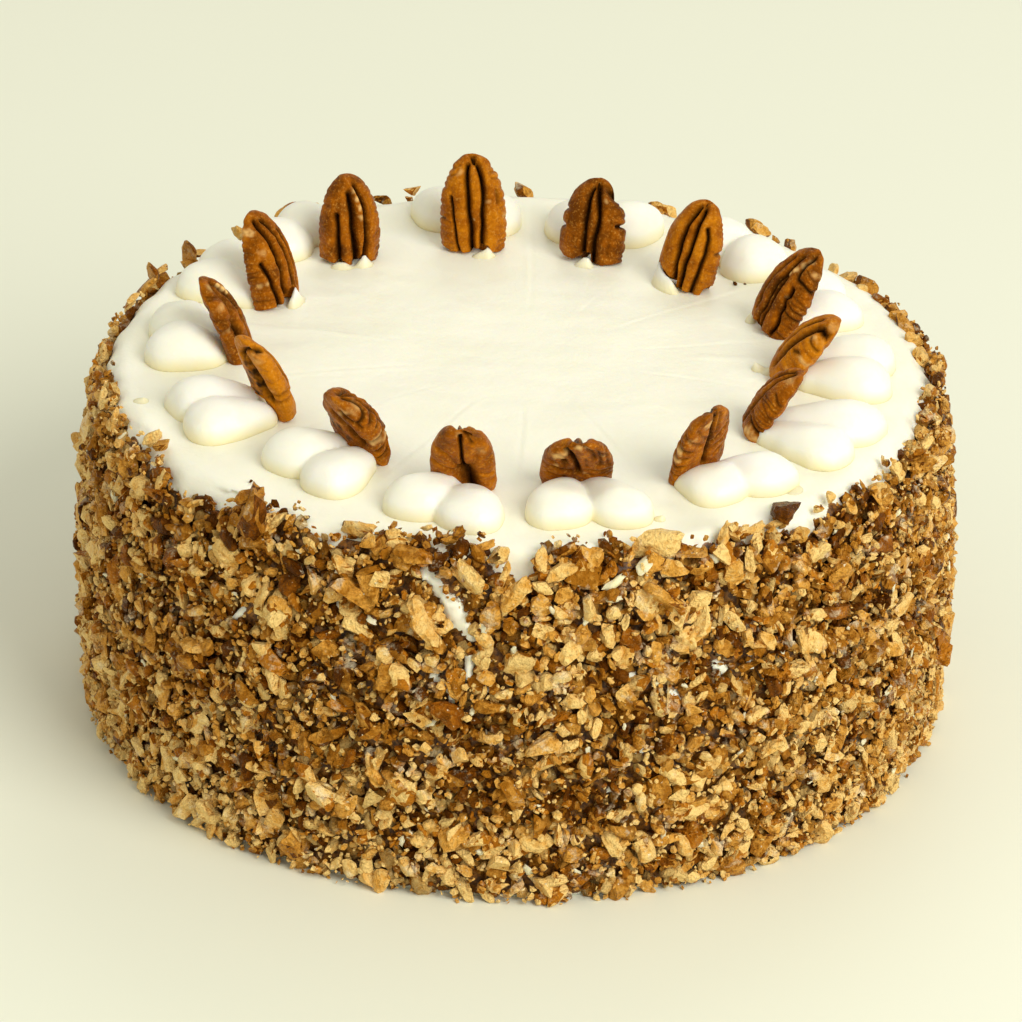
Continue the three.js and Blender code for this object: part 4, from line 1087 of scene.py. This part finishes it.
def layPieces(draw, directions, tilt):
    # each piece turned to its direction in the wall's plane, then tipped out of it by about the tilt
    count = len(directions)
    spin = np.radians(directions)
    axis = draw.uniform(0, 2 * math.pi, count)
    tip = draw.normal(0, math.radians(tilt), count)
    zero, one = np.zeros(count), np.ones(count)
    turned = np.stack([np.cos(spin), -np.sin(spin), zero,
                       np.sin(spin), np.cos(spin), zero,
                       zero, zero, one], -1).reshape(-1, 3, 3)
    cross = np.stack([zero, zero, np.sin(axis),
                      zero, zero, -np.cos(axis),
                      -np.sin(axis), np.cos(axis), zero], -1).reshape(-1, 3, 3)
    sine, rest = np.sin(tip)[:, None, None], (1 - np.cos(tip))[:, None, None]
    return (np.eye(3) + sine * cross + rest * (cross @ cross)) @ turned


def layOut(draw, spacing):
    # a loose grid of places round the wall, from the foot to a little past the coat's edge
    rows = np.arange(spacing * 0.4, steps[-1] + 8, spacing)
    columns = int(2 * math.pi * coatMood["radius"] / spacing)
    turns = np.arange(columns) * 360 / columns - 180
    along, azimuth = [grid.ravel() for grid in np.meshgrid(rows, turns, indexing="ij")]
    along = along + draw.uniform(-0.6, 0.6, len(along)) * spacing
    azimuth = azimuth + draw.uniform(-0.6, 0.6, len(azimuth)) * 360 / columns
    return along, azimuth


def onOutline(along):
    # the point and the outward direction at a length along the cake's outline from its foot
    near = 1.5
    radius = np.interp(along, steps, outline[:, 0])
    height = np.interp(along, steps, outline[:, 1])
    dr = np.interp(along + near, steps, outline[:, 0]) - np.interp(along - near, steps, outline[:, 0])
    dz = np.interp(along + near, steps, outline[:, 1]) - np.interp(along - near, steps, outline[:, 1])
    past = along > steps[-1] - near
    dr, dz = np.where(past, -1, dr), np.where(past, 0, dz)
    size = np.hypot(dr, dz)
    return radius - np.maximum(along - steps[-1], 0), height, dz / size, -dr / size


def chooseSpots(draw, kind):
    # where the kind's pieces are: azimuth, length along the outline, depth and size, with the pieces
    # laid one by one as the last ones
    along, azimuth = layOut(draw, kind["spacing"])
    bare = bareAt(azimuth, along)
    low, high = kind["sizes"]
    longest = low + (high - low) * draw.uniform(0, 1, len(along)) ** 1.4
    depth = draw.uniform(*kind["depths"], len(along))
    over = kind["over"] * (draw.uniform(0, 1, len(along)) ** 3 - 0.2)
    limit = edgeAt(azimuth) - 0.4 * longest - 0.5 + over
    scarce = kind.get("lowShare", 1.0)
    kept = draw.uniform(0, 1, len(along)) < scarce + (1 - scarce) * smoothstep(40, 85, along)
    kept &= (along < limit) & (along > 0.3) & (bare < kind.get("onBare", 0.35))
    spots = np.stack([azimuth, along, depth, longest], axis=1)[kept]
    laid = np.array(kind.get("placed", np.zeros((0, 6))))
    laidSpots = laid[:, :4] + (0, wallLength + 0.5 * shoulderLength, 0, 0)
    return np.concatenate([spots, laidSpots]).T, laid


def chooseTones(draw, near, along, laid):
    # how pale each piece is, and a share that says which are all flesh and which all skin
    count = len(along)
    mood = coatMood["tone"] * waves(near, coatMood["toneSize"], coatMood["seed"] + 1, 12)
    # painted light: paler towards the foot of the wall
    lift = coatMood["paintedLowLight"] * smoothstep(coatMood["liftedTo"], 0, along)
    shade = smoothstep(0, 1, draw.uniform(0, 1, count) + mood + lift)
    cover = np.clip(draw.uniform(0, 1, count) - mood - 0.6 * lift, 0, 1)
    if len(laid):
        shade[-len(laid):] = laid[:, 4]
        cover[-len(laid):] = 1 - laid[:, 4]
    return shade, cover


def skinOf(kind, cover, isSkin):
    # for each piece and face 1 for skin and 0 for flesh
    allFlesh, allSkin = cover < kind["allFlesh"], cover > 1 - kind["allSkin"]
    return np.where(allFlesh[:, None], 0, np.where(allSkin[:, None], 1, isSkin[None]))


def scatter(name, kind, material, slot="nut_coat"):
    draw = np.random.default_rng(kind["seed"])
    templates = [chopTemplate(draw, kind) for _ in range(kind["shapes"])]
    (azimuth, along, depth, longest), laid = chooseSpots(draw, kind)
    count = len(along)
    byHand = np.arange(count) >= count - len(laid)
    around = np.radians(azimuth)
    near = np.stack([100 * np.cos(around), 100 * np.sin(around), along], axis=1)
    depth = depth + coatMood["swell"] * waves(near, coatMood["swellSize"], coatMood["seed"], 12)
    # how proud each piece stands; in the material the low ones get painted shade
    proud = np.where(byHand, 1, (depth - coatMood["deep"]) / (coatMood["proud"] - coatMood["deep"]))
    proud = np.clip(proud, 0, 1)
    radius, height, outward, upward = onOutline(along)
    radius = radius + outward * depth
    height = np.maximum(height + upward * depth, longest * 0.35)
    directions = np.concatenate([draw.uniform(0, 360, count - len(laid)), laid[:, 5]])
    turns = layPieces(draw, directions, kind["tilt"])
    shade, cover = chooseTones(draw, near, along, laid)
    pick = draw.integers(0, len(templates), count)
    allPoints, allTriangles, allMarks, base = [], [], [], 0
    for index, (corners, triangles, isSkin) in enumerate(templates):
        chosen = np.flatnonzero(pick == index)
        if not len(chosen):
            continue
        width = np.where(byHand[chosen], coatMood["laidWidth"], 1)
        shapes = corners * width[:, None, None] ** (0, 1, 0)
        local = np.einsum("nij,nkj->nki", turns[chosen], shapes) * longest[chosen, None, None]
        tangent, up, out = np.moveaxis(local, 2, 0)
        x = out * outward[chosen, None] - up * upward[chosen, None] + radius[chosen, None]
        z = out * upward[chosen, None] + up * outward[chosen, None] + height[chosen, None]
        cosine, sine = np.cos(around[chosen])[:, None], np.sin(around[chosen])[:, None]
        points = np.stack([x * cosine - tangent * sine, x * sine + tangent * cosine, z], -1)
        allPoints.append(points.reshape(-1, 3))
        offsets = base + len(corners) * np.arange(len(chosen))
        allTriangles.append((triangles[None] + offsets[:, None, None]).reshape(-1, 3))
        base += len(corners) * len(chosen)
        skinned = skinOf(kind, cover[chosen], isSkin)
        even = np.ones_like(skinned)
        marks = np.stack([skinned, even * shade[chosen, None], even * proud[chosen, None], even], -1)
        allMarks.append(marks.reshape(-1, 4))
    points = np.concatenate(allPoints)
    points[:, 2] = np.maximum(points[:, 2], 0.05)
    data = bpy.data.meshes.new(name)
    data.from_pydata((points * mm).tolist(), [], np.concatenate(allTriangles).tolist())
    colours = data.color_attributes.new("nutMarks", "FLOAT_COLOR", "CORNER")
    marks = np.repeat(np.concatenate(allMarks), 3, axis=0)
    colours.data.foreach_set("color", marks.astype(np.float32).ravel())
    data.validate()
    piece = finishPiece(name, data, material, slot, "iced_cake")
    data.set_sharp_from_angle(angle=math.radians(kind.get("sharp", 32)))
    print(name, count, "pieces,", len(data.polygons), "triangles")
    return piece


# the nuts' inside and skin, each from its darkest to its palest tone
nutColours = {
    "flesh": ((0.33, 0.120, 0.008), (0.74, 0.36, 0.060), (0.95, 0.66, 0.24)),
    "skin": ((0.07, 0.017, 0.001), (0.26, 0.074, 0.003), (0.52, 0.185, 0.012)),
    "icing": (0.92, 0.84, 0.60),
    "shine": (1.0, 0.55, 0.12),
}


def nutMaterial():
    material, nodes, links, shader = newMaterial("chopped pecan")
    where = objectPoints(nodes)
    skinned, shade, proud = addMarks(nodes, links, "nutMarks")
    coarse = addNoise(nodes, links, where, 430, 3, 0.6)
    fine = addNoise(nodes, links, where, 1150, 3, 0.6)
    smears = addNoise(nodes, links, where, 150, 5, 0.7)
    flecks = addNoise(nodes, links, where, 1000, 2, 0.5)
    tone = addMath(nodes, links, "ADD", shade, addRange(nodes, links, coarse, 0.32, 0.68, -0.32, 0.32))
    flesh = addRamp(nodes, links, tone, list(zip((0, 0.45, 1), nutColours["flesh"])))
    skin = addRamp(nodes, links, tone, list(zip((0, 0.5, 1), nutColours["skin"])))
    flaked = addMath(nodes, links, "ADD", skinned, addRange(nodes, links, coarse, 0.5, 0.72, 0.0, 0.6))
    colour = addMix(nodes, links, addRange(nodes, links, flaked, 0.3, 0.8), flesh, skin)
    pits = addRange(nodes, links, fine, 0.44, 0.30, 0.0, 0.3)
    grains = addMath(nodes, links, "MULTIPLY", addRange(nodes, links, fine, 0.56, 0.72, 0.0, 0.45), shade)
    # painted shade between the pieces: the less proud a piece, the more it is painted the darkest skin
    # colour
    paintedGapShade = addRange(nodes, links, proud, 0.0, 0.75, 0.66, 0.0)
    smeared = addRange(nodes, links, smears, 0.57, 0.70, 0.0, 0.6)
    # painted glints: tiny specks painted in the icing's pale colour
    paintedGlints = addRange(nodes, links, flecks, 0.70, 0.75, 0.0, 0.7)
    for share, tint in ((pits, nutColours["flesh"][0]), (grains, nutColours["flesh"][2]),
                        (paintedGapShade, nutColours["skin"][0]), (smeared, nutColours["icing"]),
                        (paintedGlints, nutColours["icing"])):
        colour = addMix(nodes, links, share, colour, tint)
    links.new(colour, shader.inputs["Base Color"])
    links.new(addRange(nodes, links, fine, 0.3, 0.7, 0.5, 0.25), shader.inputs["Roughness"])
    shader.inputs["Specular IOR Level"].default_value = 0.22
    shader.inputs["Specular Tint"].default_value = (*nutColours["shine"], 1)
    height = addMath(nodes, links, "ADD", addMath(nodes, links, "MULTIPLY", fine, 0.6), coarse)
    addBump(nodes, links, shader, height, 1.8 * mm)
    return material


# pieces laid one by one: azimuth, how far past the middle of the shoulder, how proud, how long, from 0
# for dark skin to 1 for pale flesh, and the direction it lies in, in mm and degrees
laidPieces = [
    (106.4, 0, 4.2, 6.0, 0.5, 20), (106.8, -1, 1.8, 5.0, 0.4, 60), (111.2, 0, 2.4, 4.5, 0.2, 150),
    (121.9, 0, 4.2, 5.5, 0.5, 10), (122.3, -1, 1.8, 5.0, 0.3, 40), (126.4, 0, 4.6, 7.0, 0.5, -30),
    (126.8, -1, 2.0, 6.0, 0.6, 0), (135.5, 0, 3.2, 5.0, 0.6, 30), (145.8, 0, 4.0, 8.5, 0.2, 80),
    (146.4, -1, 1.8, 6.0, 0.4, 0), (143.9, 0, 2.2, 5.0, 0.7, -10), (154.3, 0, 3.8, 7.5, 0.3, 60),
    (152.6, 0, 3.0, 5.0, 0.6, -20), (156.9, 0, 2.6, 6.0, 0.5, 100), (162.1, 0, 2.6, 6.5, 0.8, 0),
    (89.9, 0, 2.8, 5.5, 0.3, 10), (70, 0.5, 1.7, 7.0, 0.5, -20), (67.9, 0.5, 1.5, 6.0, 0.7, 40),
    (54.3, 0, 3.1, 7.0, 0.4, 0), (52.7, 0, 2.3, 5.5, 0.6, 60), (49.5, 0.5, 1.2, 3.5, 0.1, 0),
    (46.1, 1.0, 0.6, 6.0, 0.3, -30), (36.7, 1.5, 0.6, 7.0, 0.8, -30), (33.6, 1.5, 0.5, 6.5, 0.7, 10),
    (29.6, 0.5, 1.8, 7.5, 0.2, 0), (28.6, 1.5, 0.4, 6.0, 0.9, 80), (24.8, 1.0, 1.0, 7.0, 0.5, -40),
    (18.2, 1.5, 0.8, 6.5, 0.4, -60), (15.0, 1.5, 0.8, 6.5, 0.3, 20), (10.5, 1.5, 0.8, 7.0, 0.6, -70),
    (5.6, 1.5, 0.8, 6.0, 0.7, 30),
    (-51.5, 2.5, 2.8, 10.0, 0.05, 35), (-53.0, 1.0, 2.4, 5.5, 0.6, 0), (-71.3, 2.0, 2.4, 11.0, 0.95, -20),
    (-66.5, -1.5, 3.0, 9.5, 0.35, -60), (-71.2, -7.9, 3.0, 10.5, 0.45, -40),
    (-80.7, -9.1, 3.0, 10.0, 0.9, -70),
    (-44.8, -15, 3.0, 9.0, 0.25, 85), (-61.5, 1.5, 2.4, 7.0, 0.8, 60), (-57.5, 1.0, 2.6, 6.5, 0.7, 10),
    (-125.6, 0.5, 5.0, 12.0, 0.1, 85), (-126.8, 2.0, 6.4, 7.0, 0.15, 40),
    (-124.8, -4.0, 3.6, 10.5, 0.15, 20),
    (-128.5, -1.0, 3.0, 6.0, 0.1, 100), (-120.8, 1.0, 2.4, 4.5, 0.1, 90),
    (-122.5, 1.0, 2.4, 4.5, 0.9, 70), (-110.2, -9.4, 3.2, 11.5, 0.3, -22),
    (-101.1, -13.0, 3.0, 12.5, 0.75, -60),
    (-98.9, -13.5, 3.2, 6.5, 0.8, -50), (-89.9, -5.5, 3.0, 11.5, 0.7, 60),
    (-95.5, -2.5, 3.0, 9.0, 0.85, -40),
    (-94.2, 3.0, 2.0, 6.0, 0.4, 25), (-92.0, 1.5, 2.4, 6.5, 0.9, -15), (-91.2, -2.0, 2.8, 7.0, 0.7, 70),
    (-103.2, 0.0, 3.0, 9.5, 0.15, 5), (-111.3, 3.0, 1.8, 7.5, 0.8, 10), (-108.0, 2.5, 1.6, 4.5, 0.2, 60),
    (-98.9, 4.0, 1.4, 5.5, 0.3, 30), (-97.0, 1.5, 2.6, 6.0, 0.05, 75), (-105.5, 3.0, 2.2, 6.5, 0.85, -10),
    (-120.5, -18.0, 3.0, 9.5, 0.55, 80), (-148.3, 3.0, 1.2, 4.2, 0.3, 60), (-151.5, 3.0, 1.4, 5.0, 0.9, 80),
    (-86.5, 0.5, 2.8, 7.0, 0.75, 100), (-84.0, -1.0, 3.0, 8.0, 0.8, 10), (-80.5, 0.5, 2.8, 7.5, 0.5, 50),
]

# loose crumbs on the top: x and y in mm and how long
crumbSpots = [
    (-46.5, -81.8, 1.8), (-70.6, -1.4, 1.2), (53.4, 50.6, 1.9), (52.5, 44.8, 1.3), (55.0, 45.5, 0.9),
    (70.0, -8.6, 1.2), (49.5, -49.6, 1.3), (-60.0, -66.0, 1.0), (-38.0, -84.5, 1.3), (20.0, -86.5, 1.1),
]


def laidOnTop(spots):
    # the crumbs' places as rows like those of the laid pieces
    rows = []
    for x, y, longest in spots:
        past = steps[-1] + cakeIcing["flatTopRadius"] - math.hypot(x, y) - wallLength - 0.5 * shoulderLength
        rows.append((math.degrees(math.atan2(y, x)), past, 0.25 * longest, longest, 0.1, 30))
    return rows


# each kind of chopped nut, sizes in mm: over is how far a piece may lie past the coat's edge, rough,
# lumpy and cuts shape it, narrow and flat are shares of its length, depths are how far it stands out,
# allFlesh and allSkin the shares of pieces with no skin and with nothing else
coatKinds = {
    "nut_underlayer": dict(
        seed=10, spacing=3.9, over=0, shapes=20, fine=1, rough=0.12, lumpy=0.25, cuts=0,
        narrow=(0.6, 1.0), flat=(0.4, 0.7), sizes=(3.4, 5.2), depths=(0.2, 1.3), tilt=30,
        allFlesh=0.15, allSkin=0.35, sharp=60, onBare=0.25),
    "nut_chunks": dict(
        seed=1, spacing=9.0, over=0.5, lowShare=0.7, shapes=24, fine=3, rough=0.035, lumpy=0.16, cuts=3,
        narrow=(0.45, 0.8), flat=(0.35, 0.65), sizes=(4.4, 8.4), depths=(2.0, 3.0), tilt=26,
        allFlesh=0.3, allSkin=0.1, placed=laidPieces, sharp=36),
    "nut_slices": dict(
        seed=6, spacing=5.0, over=0.8, lowShare=0.8, shapes=30, fine=2, rough=0.05, lumpy=0.14, cuts=3,
        narrow=(0.35, 0.65), flat=(0.3, 0.55), sizes=(3.4, 7.2), depths=(1.8, 3.2), tilt=26,
        allFlesh=0.45, allSkin=0.2, sharp=42),
    "nut_pieces_pale": dict(
        seed=2, spacing=4.9, over=1.0, shapes=30, fine=2, rough=0.09, lumpy=0.22, cuts=1,
        narrow=(0.6, 1.0), flat=(0.5, 0.9), sizes=(2.4, 5.0), depths=(1.0, 3.0), tilt=60,
        allFlesh=0.75, allSkin=0.0, sharp=48),
    "nut_pieces_brown": dict(
        seed=3, spacing=5.05, over=1.0, shapes=30, fine=2, rough=0.08, lumpy=0.22, cuts=1,
        narrow=(0.55, 1.0), flat=(0.45, 0.8), sizes=(2.4, 4.8), depths=(0.8, 2.7), tilt=60,
        allFlesh=0.1, allSkin=0.4, sharp=48),
    "nut_bits": dict(
        seed=4, spacing=2.58, over=1.1, shapes=16, fine=1, rough=0.14, lumpy=0.2, cuts=0,
        narrow=(0.5, 1.0), flat=(0.4, 0.9), sizes=(1.1, 2.6), depths=(1.2, 3.6), tilt=80,
        allFlesh=0.6, allSkin=0.15, onBare=0.7),
    "nut_crumbs": dict(
        seed=5, spacing=2.33, over=1.3, shapes=12, fine=0, rough=0.14, lumpy=0.2, cuts=0,
        narrow=(0.6, 1.0), flat=(0.6, 1.0), sizes=(0.6, 1.3), depths=(2.0, 4.0), tilt=80,
        allFlesh=0.75, allSkin=0.15, onBare=0.9),
}

# flecks of icing caught on the nuts, laid in the same way
laidFlecks = [(-73.1, -1.0, 3.2, 6.5, 1, 30), (-77.4, -3.6, 3.2, 6.5, 1, 25), (-77.5, -7.4, 3.2, 4.5, 1, 0)]
fleckKind = dict(seed=12, spacing=17, over=0, shapes=8, fine=2, rough=0.05, lumpy=0.4, cuts=0,
                 narrow=(0.35, 0.6), flat=(0.2, 0.35), sizes=(1.6, 4.0), depths=(2.4, 3.2), tilt=20,
                 allFlesh=1, allSkin=0, sharp=80, placed=laidFlecks)
# the loose crumbs, spaced so far apart that only the placed ones are there
crumbKind = dict(seed=9, spacing=400, over=0, shapes=6, fine=2, rough=0.08, lumpy=0.2, cuts=1,
                 narrow=(0.6, 0.9), flat=(0.5, 0.8), sizes=(1, 2), depths=(0, 1), tilt=10, allFlesh=0,
                 allSkin=0.5, sharp=50, placed=laidOnTop(crumbSpots))


creamIcing = icingMaterial("piped")
makeCakeIcing(icingMaterial("coated"))
print("icing on the cake")
for number, (half, pair, look) in enumerate(zip(halves, pairs, nutLooks)):
    makePair(number, half, pair, look, creamIcing)
makePeaks(creamIcing)
print("pairs piped")
pecanSkin = pecanMaterial()
for number, (half, look) in enumerate(zip(halves, nutLooks)):
    makePecan(number, half, look, pecanSkin)
print("pecan halves set")
chopped = nutMaterial()
for name, kind in coatKinds.items():
    scatter(name, kind, chopped)
scatter("icing_flecks", fleckKind, creamIcing, "icing")
scatter("icing_crumbs", crumbKind, chopped)
print("side coated with nuts")
